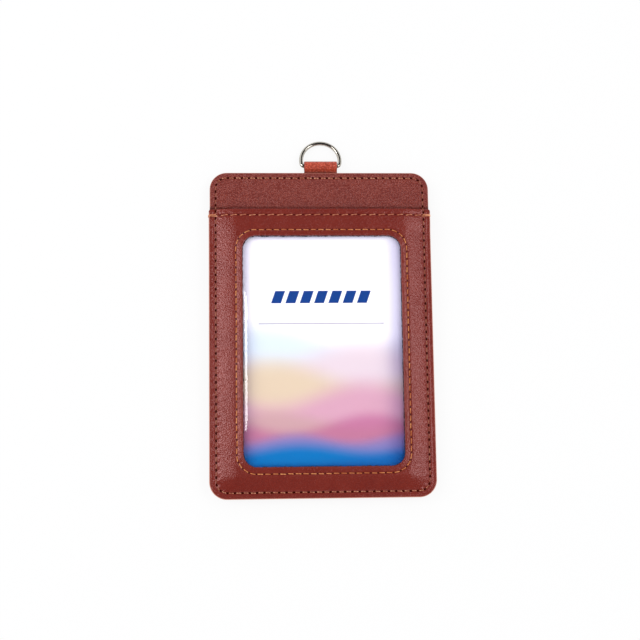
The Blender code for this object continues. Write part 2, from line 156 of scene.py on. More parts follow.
@dataclass(frozen=True)
class RoundedBox:
    """A rectangle with rounded corners in plan, seen from the front."""

    left: float
    right: float
    bottom: float
    top: float
    low_radius: float
    high_radius: float

    def grown(self, by: float) -> "RoundedBox":
        """The box with its sides moved out, its corners keeping their centres.

        Args:
            by: how far each side moves out.

        Returns:
            The larger box.
        """
        return RoundedBox(
            self.left - by,
            self.right + by,
            self.bottom - by,
            self.top + by,
            self.low_radius + by,
            self.high_radius + by,
        )

    def towards(self, other: "RoundedBox", share: float) -> "RoundedBox":
        """The box a share of the way to another box.

        Args:
            other: the other box.
            share: 0 for this box, 1 for the other.

        Returns:
            The box between.
        """
        mine = (self.left, self.right, self.bottom, self.top, self.low_radius, self.high_radius)
        theirs = (other.left, other.right, other.bottom, other.top, other.low_radius, other.high_radius)
        return RoundedBox(*(a + (b - a) * share for a, b in zip(mine, theirs)))

    def corners(self) -> list[tuple[float, float, float]]:
        """Centre and radius of each corner, anticlockwise from the low right one.

        Returns:
            Four times x, y and radius.
        """
        low, high = self.low_radius, self.high_radius
        return [
            (self.right - low, self.bottom + low, low),
            (self.right - high, self.top - high, high),
            (self.left + high, self.top - high, high),
            (self.left + low, self.bottom + low, low),
        ]

    def loop(self, spans: Spans) -> np.ndarray:
        """Points anticlockwise from the low right corner: four quarter circles joined by straight runs.

        Args:
            spans: the steps over each stretch, so that unlike boxes give matching points.

        Returns:
            The points, as an array of N by 2.
        """
        share = np.linspace(0, 1, spans.corner + 1)
        rounds = [
            arc(*corner, (quarter - 1 + share) * math.pi / 2) for quarter, corner in enumerate(self.corners())
        ]
        found = []
        for quarter, here in enumerate(rounds):
            steps = spans.end if quarter % 2 else spans.side
            share = (np.arange(1, steps) / steps)[:, None]
            following = rounds[(quarter + 1) % 4][0]
            found += [here, here[-1] + (following - here[-1]) * share]
        return np.concatenate(found)

    def inset(self, x: np.ndarray, y: np.ndarray) -> np.ndarray:
        """Distance in from the outline, negative outside: the signed distance of a rounded box.

        Args:
            x: places across.
            y: places along.

        Returns:
            The distance at each place.
        """
        high = y > (self.bottom + self.top) / 2
        radius = np.where(high, self.high_radius, self.low_radius)
        across = np.abs(x - (self.left + self.right) / 2) - (self.right - self.left) / 2 + radius
        along = np.where(high, y - self.top, self.bottom - y) + radius
        beyond = np.hypot(np.maximum(across, 0), np.maximum(along, 0))
        within = np.minimum(np.maximum(across, along), 0)
        return radius - beyond - within

    def stretches(self) -> np.ndarray:
        """Where each stretch of the outline ends: bottom, right, top and left, with a corner after each.

        Returns:
            Eight lengths from the outline's start, each longer than the last.
        """
        low = self.low_radius * math.pi / 2
        high = self.high_radius * math.pi / 2
        width = self.right - self.left
        height = self.top - self.bottom - self.low_radius - self.high_radius
        foot = width - 2 * self.low_radius
        head = width - 2 * self.high_radius
        return np.cumsum([foot, low, height, high, head, high, height, low])

    def length(self) -> float:
        """Length of the outline."""
        return float(self.stretches()[-1])

    def run(self, x: np.ndarray, y: np.ndarray) -> np.ndarray:
        """How far along the outline the nearest point lies, anticlockwise from the low left corner's end.

        In a corner's square it is the corner's angle times its radius, and elsewhere the place along
        the nearest side.

        Args:
            x: places across.
            y: places along.

        Returns:
            The length at each place.
        """
        ends = self.stretches()
        corners = self.corners()
        sides = [y - self.bottom, self.right - x, self.top - y, x - self.left]
        nearest = np.argmin(np.abs(np.stack(sides)), 0)
        low, high = self.low_radius, self.high_radius
        along = [
            np.clip(x - self.left - low, 0, ends[0]),
            ends[1] + np.clip(y - self.bottom - low, 0, ends[2] - ends[1]),
            ends[3] + np.clip(self.right - high - x, 0, ends[4] - ends[3]),
            ends[5] + np.clip(self.top - high - y, 0, ends[6] - ends[5]),
        ]
        found = np.choose(nearest, along)
        for quarter, (cx, cy, radius) in enumerate(corners):
            right = quarter in (0, 1)
            upper = quarter in (1, 2)
            inside = ((x > cx) == right) & ((y > cy) == upper)
            turn = np.arctan2(y - cy, x - cx) - (quarter - 1) * math.pi / 2
            turn = np.mod(turn + math.pi, FULL_TURN) - math.pi
            found = np.where(inside, ends[2 * quarter] + turn * radius, found)
        return found

    def place(self, run: np.ndarray) -> tuple[np.ndarray, np.ndarray]:
        """The points at given distances along the outline.

        Args:
            run: lengths from the outline's start.

        Returns:
            Their x and y.
        """
        spans = Spans(60, 4, 4)
        points = self.loop(spans)
        first = len(points) - (spans.end - 1) - 1
        points = np.concatenate([points[first:], points[: first + 1]])
        steps = np.hypot(*np.diff(points, axis=0).T)
        far = np.concatenate([[0], np.cumsum(steps)])
        far *= self.length() / far[-1]
        where = np.mod(run, self.length())
        return np.interp(where, far, points[:, 0]), np.interp(where, far, points[:, 1])


def outline_of(node: str, inset: float, radius: float) -> RoundedBox:
    """A node's outline in plan, its sides moved in by an inset, with one radius at all corners."""
    low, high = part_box(node)
    return RoundedBox(low.x + inset, high.x - inset, low.y + inset, high.y - inset, radius, radius)


@dataclass(frozen=True)
class OutlineSeam:
    """A seam that runs round a box; its run counts stitches. Hole is a needle hole's radius in mm."""

    name: str
    line: RoundedBox
    pitch: float
    hole: float = 0.36
    # How far painted shade darkens the needle holes.
    hole_shade: float = 1.0

    @property
    def count(self) -> int:
        """Whole stitches in one turn."""
        return round(self.line.length() / self.pitch)

    @property
    def turn(self) -> float:
        """The run of one whole turn."""
        return float(self.count)

    def offset(self, x: np.ndarray, y: np.ndarray) -> np.ndarray:
        """Distance in from the seam's line."""
        return self.line.inset(x, y)

    def run(self, x: np.ndarray, y: np.ndarray) -> np.ndarray:
        """The place along the seam, in stitches; each whole number is a needle hole."""
        return self.line.run(x, y) * self.count / self.line.length()

    def place(self, run: np.ndarray) -> tuple[np.ndarray, np.ndarray]:
        """The points at given runs."""
        return self.line.place(run * self.line.length() / self.count)

    def starts(self) -> np.ndarray:
        """The run at which each stitch starts."""
        return np.arange(self.count)


@dataclass(frozen=True)
class RowSeam:
    """A straight seam across the front; its run counts stitches. Hole is a needle hole's radius in mm."""

    name: str
    level: float
    first: float
    pitch: float
    count: int
    hole: float = 0.27
    # How far painted shade darkens the needle holes.
    hole_shade: float = 0.75

    @property
    def turn(self) -> float:
        """A row doesn't close, so it has no turn."""
        return 0.0

    def offset(self, x: np.ndarray, y: np.ndarray) -> np.ndarray:
        """Distance above the row."""
        return y - self.level

    def run(self, x: np.ndarray, y: np.ndarray) -> np.ndarray:
        """The place along the row, in stitches; each whole number is a needle hole."""
        return (x - self.first) / self.pitch

    def place(self, run: np.ndarray) -> tuple[np.ndarray, np.ndarray]:
        """The points at given runs."""
        return self.first + run * self.pitch, np.full_like(run, self.level)

    def starts(self) -> np.ndarray:
        """The run at which each stitch starts."""
        return np.arange(self.count)


Seam = OutlineSeam | RowSeam


def pressed_by(
    seam: Seam, x: np.ndarray, y: np.ndarray, depth: float, width: float, pucker: float
) -> np.ndarray:
    """How far a seam pulls leather down: a bell-shaped groove, deepest at the holes.

    On the seam's inner side the leather puckers.

    Args:
        seam: the seam.
        x: places across.
        y: places along.
        depth: the groove's depth at a needle hole.
        width: the groove's half width.
        pucker: how far the inner shoulder rises between two holes and sinks beside them.

    Returns:
        The change of height, negative downwards.
    """
    offset = seam.offset(x, y)
    beat = np.cos(FULL_TURN * seam.run(x, y))
    groove = depth * bump_at(offset, width) * (0.78 + 0.22 * beat)
    shoulder = pucker * bump_at(offset - 2.1 * width, 1.2 * width) * beat
    return -groove - shoulder


@dataclass(frozen=True)
class Plan:
    """Outlines, seams and heights that several pieces share, read from the frame's nodes.

    A side_blend is the distance over which the left side's form turns into the right's, and a
    wave_run the distance from a seam at which the leather lies free. Seams other than the edge's
    pucker by a faint_share, the window's lip lifts by a right_share on the right, and the edge
    seam's groove is back_press times as deep on the back.
    """

    cover: RoundedBox
    ply: RoundedBox
    card: RoundedBox
    window: RoundedBox
    film: RoundedBox
    edge_seam: OutlineSeam
    window_seam: OutlineSeam
    mouth_seam: RowSeam
    rim_low: float
    plateau: float
    band: float
    leather: float = 0.8 * MM
    mouth_corner: float = 0.8 * MM
    hem_width: float = 4.5 * MM
    hem_ply: float = 0.4 * MM
    hem_ramp: float = 4.0 * MM
    side_rise: float = 7.0 * MM
    low_rise: float = 5.6 * MM
    lip_lift: float = 0.42 * MM
    groove: float = 0.20 * MM
    groove_half: float = 0.34 * MM
    back_press: float = 1.5
    pucker: float = 0.085 * MM
    faint_share: float = 0.4
    right_share: float = 0.5
    crease_inset: float = 1.05 * MM
    crease_depth: float = 0.09 * MM
    crease_half: float = 0.34 * MM
    swell_power: float = 1.35
    side_blend: float = 10 * MM
    strip_swell: float = 0.07 * MM
    strip_half: float = 0.7 * MM
    cover_wave: float = 0.035 * MM
    cover_wave_length: float = 17 * MM
    band_wave: float = 0.05 * MM
    band_wave_length: float = 19 * MM
    wave_run: float = 2 * MM

    @classmethod
    def from_frame(cls) -> "Plan":
        """Reads the outlines and heights off the nodes, with the corner radii that the nodes are built to.

        Returns:
            The plan.
        """
        thread = 0.2 * MM
        corner = 5.8 * MM
        cover_low, cover_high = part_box("window_panel")
        mouth_low, mouth_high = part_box("mouth_seam_thread")
        cover = outline_of("window_panel", 0, corner)
        edge_line = outline_of("edge_seam_thread", thread, 0)
        edge_radius = corner - (edge_line.bottom - cover.bottom)
        edge_line = replace(edge_line, low_radius=edge_radius, high_radius=edge_radius)
        window_line = outline_of("window_seam_thread", thread, 6.4 * MM)
        window = RoundedBox(
            left=window_line.left + 2.2 * MM,
            right=window_line.right - 2.0 * MM,
            bottom=window_line.bottom + 2.25 * MM,
            top=window_line.top - 2.0 * MM,
            low_radius=4.5 * MM,
            high_radius=4.5 * MM,
        )
        mouth_level = (mouth_low.y + mouth_high.y) / 2
        return cls(
            cover=replace(cover, top=cover.top + 0.2 * MM, high_radius=cls.mouth_corner),
            ply=outline_of("centre_panel", 0, corner),
            card=outline_of("insert_card", 0, 2 * MM),
            window=window,
            film=outline_of("window_film", 0, 3 * MM),
            edge_seam=OutlineSeam("edge_seam", edge_line, pitch=2.41 * MM),
            window_seam=OutlineSeam("window_seam", window_line, pitch=2.5 * MM, hole=0.28, hole_shade=0.75),
            mouth_seam=RowSeam("mouth_seam", mouth_level, first=-36.9 * MM, pitch=3.12 * MM, count=24),
            rim_low=cover_low.z,
            plateau=cover_high.z,
            band=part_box("centre_panel")[1].z,
        )

    def under(self, x: np.ndarray, y: np.ndarray) -> np.ndarray:
        """Height of the cover's underside.

        Low at the sewn rim, it swells from the seam to its full height over the card, steepest at the
        seam. The rim itself climbs towards the mouth, where the hem's turned ply lies under it.

        Args:
            x: places across.
            y: places along.

        Returns:
            The height at each place.
        """
        line = self.edge_seam.line
        side = (line.right - np.abs(x)) / self.side_rise
        low = (y - line.bottom) / self.low_rise
        share = np.clip(1 - np.hypot(np.maximum(1 - side, 0), np.maximum(1 - low, 0)), 0, 1)
        over_card = 1 - (1 - share) ** self.swell_power
        hem_low = self.cover.top - self.hem_width
        rim = self.hem_ply * smooth_step((y - hem_low + self.hem_ramp) / self.hem_ramp)
        rise = self.plateau - self.leather - self.rim_low
        return self.rim_low + rim + (rise - rim) * over_card

    def cover_face(self, x: np.ndarray, y: np.ndarray) -> np.ndarray:
        """Height of the cover's face: its underside plus the leather, creased, pressed and puckered.

        The crease runs along the sides and the foot alone, so its box is carried far past the mouth.

        Args:
            x: places across.
            y: places along.

        Returns:
            The height at each place.
        """
        open_top = replace(self.cover, top=self.cover.top + 100 * MM)
        face = self.under(x, y) + self.leather
        face -= self.crease_depth * bump_at(open_top.inset(x, y) - self.crease_inset, self.crease_half)
        face += pressed_by(self.edge_seam, x, y, self.groove, self.groove_half, self.pucker)
        faint = self.faint_share * self.pucker
        face += pressed_by(self.window_seam, x, y, self.groove, self.groove_half, faint)
        face += pressed_by(self.mouth_seam, x, y, self.groove, self.groove_half, faint)
        lip = np.clip(self.window_seam.offset(x, y) / self.wave_run, 0, 1)
        face += self.lip_lift * lip * (1 - (1 - self.right_share) * smooth_step(x / self.side_blend))
        strip = (self.cover.top + self.mouth_seam.level) / 2
        face += self.strip_swell * bump_at(y - strip, self.strip_half)
        open_sheet = smooth_step(self.edge_seam.offset(x, y) / self.wave_run)
        return face + self.cover_wave * open_sheet * waviness(x, y, self.cover_wave_length, seed=0.4)

    def band_face(self, x: np.ndarray, y: np.ndarray) -> np.ndarray:
        """Height of the top band's face, creased and pressed as the cover is.

        Args:
            x: places across.
            y: places along.

        Returns:
            The height at each place.
        """
        face = np.full_like(x, self.band)
        face -= self.crease_depth * bump_at(self.ply.inset(x, y) - self.crease_inset, self.crease_half)
        face += pressed_by(self.edge_seam, x, y, self.groove, self.groove_half, self.pucker)
        open_sheet = smooth_step(self.edge_seam.offset(x, y) / self.wave_run)
        return face + self.band_wave * open_sheet * waviness(x, y, self.band_wave_length, seed=2.1)

    def front_face(self, x: np.ndarray, y: np.ndarray) -> np.ndarray:
        """Height of what shows from the front: the cover up to the mouth, and the band above it."""
        return np.where(y < self.cover.top, self.cover_face(x, y), self.band_face(x, y))


def skin_faces(rows: int, count: int, closed: bool) -> np.ndarray:
    """Quads between the rows of a grid whose columns close on themselves.

    Args:
        rows: the number of loops.
        count: the points in each loop.
        closed: whether the last loop joins the first.

    Returns:
        The faces, four point numbers each, facing out where loops run anticlockwise and go inwards on top.
    """
    index = np.arange(rows * count).reshape(rows, count)
    following = np.roll(index, -1, 0) if closed else index[1:]
    here = index if closed else index[:-1]
    return np.stack([here, np.roll(here, -1, 1), np.roll(following, -1, 1), following], -1).reshape(-1, 4)


def raised(loop: np.ndarray, height: np.ndarray | float) -> np.ndarray:
    """A loop in plan, lifted to one height, or to a height for each of its points."""
    return np.column_stack([loop, np.broadcast_to(height, len(loop))])


def make_piece(name: str, points: np.ndarray, faces: list) -> bpy.types.Object:
    """A named object at the origin with a mesh of these points and faces, shaded smooth.

    Args:
        name: the piece's name.
        points: the points, in any shape that ends in 3.
        faces: lists of point numbers.

    Returns:
        The piece.
    """
    mesh = bpy.data.meshes.new(name)
    mesh.from_pydata(points.reshape(-1, 3).tolist(), [], faces)
    mesh.shade_smooth()
    piece = bpy.data.objects.new(name, mesh)
    bpy.context.scene.collection.objects.link(piece)
    return piece


def closed_skin(name: str, loops: np.ndarray) -> bpy.types.Object:
    """A ring-shaped piece: loops skinned in order, and the last to the first."""
    rows, count, _ = loops.shape
    return make_piece(name, loops, skin_faces(rows, count, True).tolist())


def capped_skin(name: str, loops: np.ndarray) -> bpy.types.Object:
    """A solid piece: loops skinned in order, with the first and last filled.

    Args:
        name: the piece's name.
        loops: the rows, as an array of rows by points by 3.

    Returns:
        The piece.
    """
    rows, count, _ = loops.shape
    faces = skin_faces(rows, count, False).tolist()
    faces.append(list(range(count - 1, -1, -1)))
    faces.append(list(range((rows - 1) * count, rows * count)))
    return make_piece(name, loops, faces)


def plan_points(piece: bpy.types.Object) -> tuple[np.ndarray, np.ndarray, np.ndarray]:
    """The x, y and z of a piece's points.

    Args:
        piece: the piece.

    Returns:
        Three arrays, one for each axis.
    """
    flat = np.empty(len(piece.data.vertices) * 3)
    piece.data.vertices.foreach_get("co", flat)
    return tuple(flat.reshape(-1, 3).T)


def write_uv(piece: bpy.types.Object, name: str, values: np.ndarray, turn: float) -> None:
    """Writes a UV map from one value for each point.

    Args:
        piece: the piece.
        name: the map's name.
        values: two numbers for each point.
        turn: the first number's span in one whole turn, or 0 where it doesn't close. In a quad that
            crosses the start, the low corners are lifted by it.
    """
    mesh = piece.data
    corner = np.empty(len(mesh.loops), np.int32)
    mesh.loops.foreach_get("vertex_index", corner)
    spread = values[corner]
    if turn:
        start = np.empty(len(mesh.polygons), np.int32)
        total = np.empty(len(mesh.polygons), np.int32)
        mesh.polygons.foreach_get("loop_start", start)
        mesh.polygons.foreach_get("loop_total", total)
        quads = start[total == 4][:, None] + np.arange(4)
        run = spread[quads, 0]
        spread[quads, 0] = run + turn * (run.max(1, keepdims=True) - run > turn / 2)
    layer = mesh.uv_layers.new(name=name)
    layer.data.foreach_set("uv", spread.ravel().astype(np.float32))


def write_attribute(piece: bpy.types.Object, name: str, values: np.ndarray) -> None:
    """Writes one number for each point as a named attribute."""
    layer = piece.data.attributes.new(name, "FLOAT", "POINT")
    layer.data.foreach_set("value", values.astype(np.float32))


def map_seam(piece: bpy.types.Object, seam: Seam) -> None:
    """Gives a piece a UV map of a seam: the run in stitches, and the distance from its line in mm."""
    x, y, _ = plan_points(piece)
    write_uv(piece, seam.name, np.stack([seam.run(x, y), seam.offset(x, y) / MM], 1), seam.turn)


def linear(colour: str) -> tuple[float, float, float, float]:
    """Turns an sRGB hex colour such as "a0522d" into a linear colour with full alpha."""
    parts = [int(colour[i : i + 2], 16) / 255 for i in (0, 2, 4)]
    return (*(p / 12.92 if p <= 0.04045 else ((p + 0.055) / 1.055) ** 2.4 for p in parts), 1.0)


def add_node(tree: bpy.types.NodeTree, kind: str, inputs: dict | None = None, **settings: str) -> Outputs:
    """Adds a shader node with its settings and links.

    Args:
        tree: the material's or world's node tree.
        kind: the node's type, without its leading "ShaderNode".
        inputs: for each input's name or number, a socket to link or a constant to set.
        settings: attributes to set on the node.

    Returns:
        The node's outputs.
    """
    node = tree.nodes.new("ShaderNode" + kind)
    for key, value in settings.items():
        setattr(node, key, value)
    for key, value in (inputs or {}).items():
        if isinstance(value, bpy.types.NodeSocket):
            tree.links.new(value, node.inputs[key])
        else:
            node.inputs[key].default_value = value
    return node.outputs


def new_material(name: str) -> tuple[bpy.types.Material, AddNode]:
    """An empty node material, and add_node for its tree.

    Args:
        name: the material's name.

    Returns:
        The material, and the function that adds to its tree.
    """
    finish = bpy.data.materials.new(name)
    finish.use_nodes = True
    finish.node_tree.nodes.clear()
    return finish, partial(add_node, finish.node_tree)


def per_mm(size: float) -> float:
    """The texture scale, on coordinates in metres, at which one feature measures this many mm."""
    return 1 / (size * MM)


@dataclass(frozen=True)
class LeatherFinish:
    """Split cowhide, drum-dyed through and given a thin embossed top coat.

    The eye gets a fine pebble that sparkles where light grazes it, its tops lighter in colour, partly
    the grain's own tone and partly painted sparkle, a soft satin sheen on slopes and slow blotches of
    dye. Painted shade darkens the needle holes, the seams' grooves and, where asked, the leather near
    and below a level, where a step above shades it.
    """

    name: str
    dark: str
    light: str
    edge: str
    roughness: float = 0.25
    blotches: float = 0.3
    grain: float = 0.40
    grain_depth: float = 0.066
    specular: float = 0.8
    sheen: str = "ffcccc"
    # The colour of painted shade: in needle holes, along the seams' grooves and in shadowed strips.
    hole: str = "320602"
    seams: tuple[Seam, ...] = ()
    shaded_above: float | None = None
    shade_run: float = 1.7 * MM

    def material(self) -> bpy.types.Material:
        """Builds the material.

        Returns:
            The material. Its pebble is about 0.3 mm across, as the real one's is.
        """
        finish, add = new_material(self.name)
        place = add("TexCoord")["Object"]
        pebble = {"Vector": place, "Scale": per_mm(self.grain), "Smoothness": 0.35}
        cells = add("TexVoronoi", pebble, feature="SMOOTH_F1")["Distance"]
        fibre = add("TexNoise", {"Vector": place, "Scale": per_mm(0.9), "Detail": 4.0})["Fac"]
        blotch = add("TexNoise", {"Vector": place, "Scale": per_mm(7.5), "Detail": 2.0})["Fac"]
        dye = add("MapRange", {"Value": blotch, "From Min": 0.3, "From Max": 0.72}, **S_CURVE)["Result"]
        # Pebble tops lighter than their creases: partly the grain's own tone, partly painted sparkle.
        raised_part = {"Value": cells, "From Min": 0.6, "From Max": 0.1, "To Max": 0.7}
        grain_and_sparkle = add("MapRange", raised_part, **S_CURVE)["Result"]
        tone = add("Math", {0: dye, 1: self.blotches, 2: grain_and_sparkle}, operation="MULTIPLY_ADD")[0]
        dyes = {"Factor": tone, "A": linear(self.dark), "B": linear(self.light)}
        colour = add("Mix", dyes, **COLOURS)["Result"]
        edge = add("Attribute", attribute_name="edge")["Fac"]
        colour = add("Mix", {"Factor": edge, "A": colour, "B": linear(self.edge)}, **COLOURS)["Result"]
        shades = []
        # Painted shadow: darker towards shaded_above and below it, where a step above shades the leather.
        if self.shaded_above is not None:
            reach = {
                "Value": add("SeparateXYZ", {0: place})["Y"],
                "From Min": self.shaded_above + self.shade_run,
                "From Max": self.shaded_above + 0.1 * self.shade_run,
                "To Max": 0.75,
            }
            shades.append(add("MapRange", reach, **S_CURVE)["Result"])
        shades += [self.seam_shade(add, seam) for seam in self.seams]
        # Each painted shade pulls the colour towards the shade colour and turns the sheen's tint to black.
        gloss = linear(self.sheen)
        for shade in shades:
            colour = add("Mix", {"Factor": shade, "A": colour, "B": linear(self.hole)}, **COLOURS)["Result"]
            gloss = add("Mix", {"Factor": shade, "A": gloss, "B": (0, 0, 0, 1)}, **COLOURS)["Result"]
        height = add("Math", {0: fibre, 1: 0.15, 2: cells}, operation="MULTIPLY_ADD")[0]
        bump = add("Bump", {"Height": height, "Strength": 1.0, "Distance": self.grain_depth * MM})["Normal"]
        shade_and_wear = {
            "Value": fibre,
            "From Min": 0.3,
            "From Max": 0.7,
            "To Min": self.roughness - 0.03,
            "To Max": self.roughness + 0.04,
        }
        rough = add("MapRange", shade_and_wear)["Result"]
        rough = add("Mix", {"Factor": edge, "A": rough, "B": 1.0}, data_type="FLOAT")["Result"]
        surface = {
            "Base Color": colour,
            "Roughness": rough,
            "Normal": bump,
            "IOR": 1.5,
            "Specular IOR Level": self.specular,
            "Specular Tint": gloss,
        }
        add("OutputMaterial", {"Surface": add("BsdfPrincipled", surface)[0]})
        return finish

    def seam_shade(self, add: AddNode, seam: Seam) -> Socket:
        """Paints shade on one seam, from its UV map: a soft dark line in its groove, and dark needle holes on
        it.

        Args:
            add: add_node for the material's tree.
            seam: the seam, whose map holds the run in stitches and the distance from the line in mm.

        Returns:
            A socket: how far the painted shade darkens the colour.
        """
        parts = add("SeparateXYZ", {0: add("UVMap", uv_map=seam.name)["UV"]})
        beat = add("Math", {0: parts["X"], 1: 0.5}, operation="PINGPONG")[0]
        along = add("Math", {0: beat, 1: 0.65 * seam.pitch / MM}, operation="MULTIPLY")[0]
        away = add("CombineXYZ", {"X": along, "Y": parts["Y"]})[0]
        reach = add("VectorMath", {0: away}, operation="LENGTH")["Value"]
        radius = seam.hole
        spot = {"Value": reach, "From Min": 1.35 * radius, "From Max": 0.65 * radius, "To Max": seam.hole_shade}
        hole = add("MapRange", spot, **S_CURVE)["Result"]
        side = add("Math", {0: parts["Y"]}, operation="ABSOLUTE")[0]
        line = {"Value": side, "From Min": 0.55, "From Max": 0.1, "To Max": 0.15}
        groove = add("MapRange", line, **S_CURVE)["Result"]
        return add("Math", {0: hole, 1: groove}, operation="MAXIMUM")[0]


@dataclass(frozen=True)
class ThreadFinish:
    """Bonded polyester sewing thread, three plies twisted and dyed tan.

    The eye gets a slanting twist along each stitch, its light and dark painted as highlights on the
    plies, and a dull gloss from the bond. Each stitch is painted darker along its middle, as shade in
    the seam's groove, so that its ends read as lit where they turn down into the holes.
    """

    name: str
    dark: str
    light: str
    # The colour of painted shade along a stitch's middle.
    shade_and_wear: str
    roughness: float = 0.55
    twist: float = 1.2

    def material(self) -> bpy.types.Material:
        """Builds the material; its plies come round once every 1.2 mm, along the "lay" map.

        Returns:
            The material.
        """
        finish, add = new_material(self.name)
        parts = add("SeparateXYZ", {0: add("UVMap", uv_map="lay")["UV"]})
        turns = add("Math", {0: parts["X"], 1: 1 / self.twist, 2: parts["Y"]}, operation="MULTIPLY_ADD")[0]
        phase = add("Math", {0: turns, 1: FULL_TURN}, operation="MULTIPLY")[0]
        wave = add("Math", {0: phase}, operation="SINE")[0]
        place = add("TexCoord")["Object"]
        patches = add("TexNoise", {"Vector": place, "Scale": per_mm(2.6), "Detail": 2.0})["Fac"]
        wear = add("MapRange", {"Value": patches, "From Min": 0.36, "From Max": 0.64})["Result"]
        # Painted highlights: the twist's wave lightens the colour on each ply, beside the bump's relief.
        tone = add("Math", {0: wave, 1: 0.26, 2: wear}, operation="MULTIPLY_ADD")[0]
        dyes = {"Factor": tone, "A": linear(self.dark), "B": linear(self.light)}
        colour = add("Mix", dyes, **COLOURS)["Result"]
        # Painted shade: the "middle" attribute darkens a stitch towards the shade colour.
        middle = add("Attribute", attribute_name="middle")["Fac"]
        colour = add("Mix", {"Factor": middle, "A": colour, "B": linear(self.shade_and_wear)}, **COLOURS)["Result"]
        bump = add("Bump", {"Height": wave, "Strength": 0.7, "Distance": 0.03 * MM})["Normal"]
        surface = {
            "Base Color": colour,
            "Roughness": self.roughness,
            "Normal": bump,
            "IOR": 1.5,
            "Specular IOR Level": 0.25,
        }
        add("OutputMaterial", {"Surface": add("BsdfPrincipled", surface)[0]})
        return finish


@dataclass(frozen=True)
class FilmFinish:
    """Clear plasticised PVC, calendered to a gloss.

    The eye gets sharp reflections on a slightly wavy sheet, a few hair scratches, and painted shade
    round the window's edge: a lilac-grey tint in the sheet, strongest on the right. One mirror stands
    for both faces of the sheet, so its index is higher than that of PVC.
    """

    name: str
    clear: str
    # The lilac-grey tint of the painted shade along the window's edges.
    shade_tint: str
    roughness: float = 0.06
    ior: float = 1.75

    def material(self) -> bpy.types.Material:
        """Builds the material: transparent, with a gloss that a Fresnel factor mixes in.

        Returns:
            The material.
        """
        finish, add = new_material(self.name)
        place = add("TexCoord")["Object"]
        stretched = {"Vector": place, "Rotation": (0, 0, 0.35), "Scale": (per_mm(0.25), per_mm(14), 1)}
        drawn = add("Mapping", stretched)["Vector"]
        scratch = add("TexNoise", {"Vector": drawn, "Scale": 1.0, "Detail": 3.0})["Fac"]
        hair = add("MapRange", {"Value": scratch, "From Min": 0.66, "From Max": 0.8})["Result"]
        bump = add("Bump", {"Height": hair, "Strength": 0.25, "Distance": 0.006 * MM})["Normal"]
        # Painted shade: the "pressed" attribute tints the film darker towards the window's edges.
        pressed = add("Attribute", attribute_name="pressed")["Fac"]
        tints = {"Factor": pressed, "A": linear(self.clear), "B": linear(self.shade_tint)}
        tint = add("Mix", tints, **COLOURS)["Result"]
        through = add("BsdfTransparent", {"Color": tint})[0]
        mirror = {"Base Color": (1, 1, 1, 1), "Metallic": 1.0, "Roughness": self.roughness, "Normal": bump}
        gloss = add("BsdfPrincipled", mirror)[0]
        grazing = add("Fresnel", {"IOR": self.ior, "Normal": bump})[0]
        leaving = add("NewGeometry")["Backfacing"]
        entering = add("Math", {0: 1.0, 1: leaving}, operation="SUBTRACT")[0]
        share = add("Math", {0: grazing, 1: entering}, operation="MULTIPLY")[0]
        add("OutputMaterial", {"Surface": add("MixShader", {0: share, 1: through, 2: gloss})[0]})
        return finish


@dataclass(frozen=True)
class Wave:
    """One soft hill of colour on the insert: below level + height * sin(x / length + phase)."""

    colour: str
    level: float
    height: float
    length: float
    phase: float
    softness: float
    strength: float = 1.0


@dataclass(frozen=True)
class Rule:
    """One printed line on the insert, solid or cut into slanting blocks of a given pitch in mm."""

    colour: str
    middle: float
    level: float
    half_length: float
    half_width: float
    pitch: float = 0.0


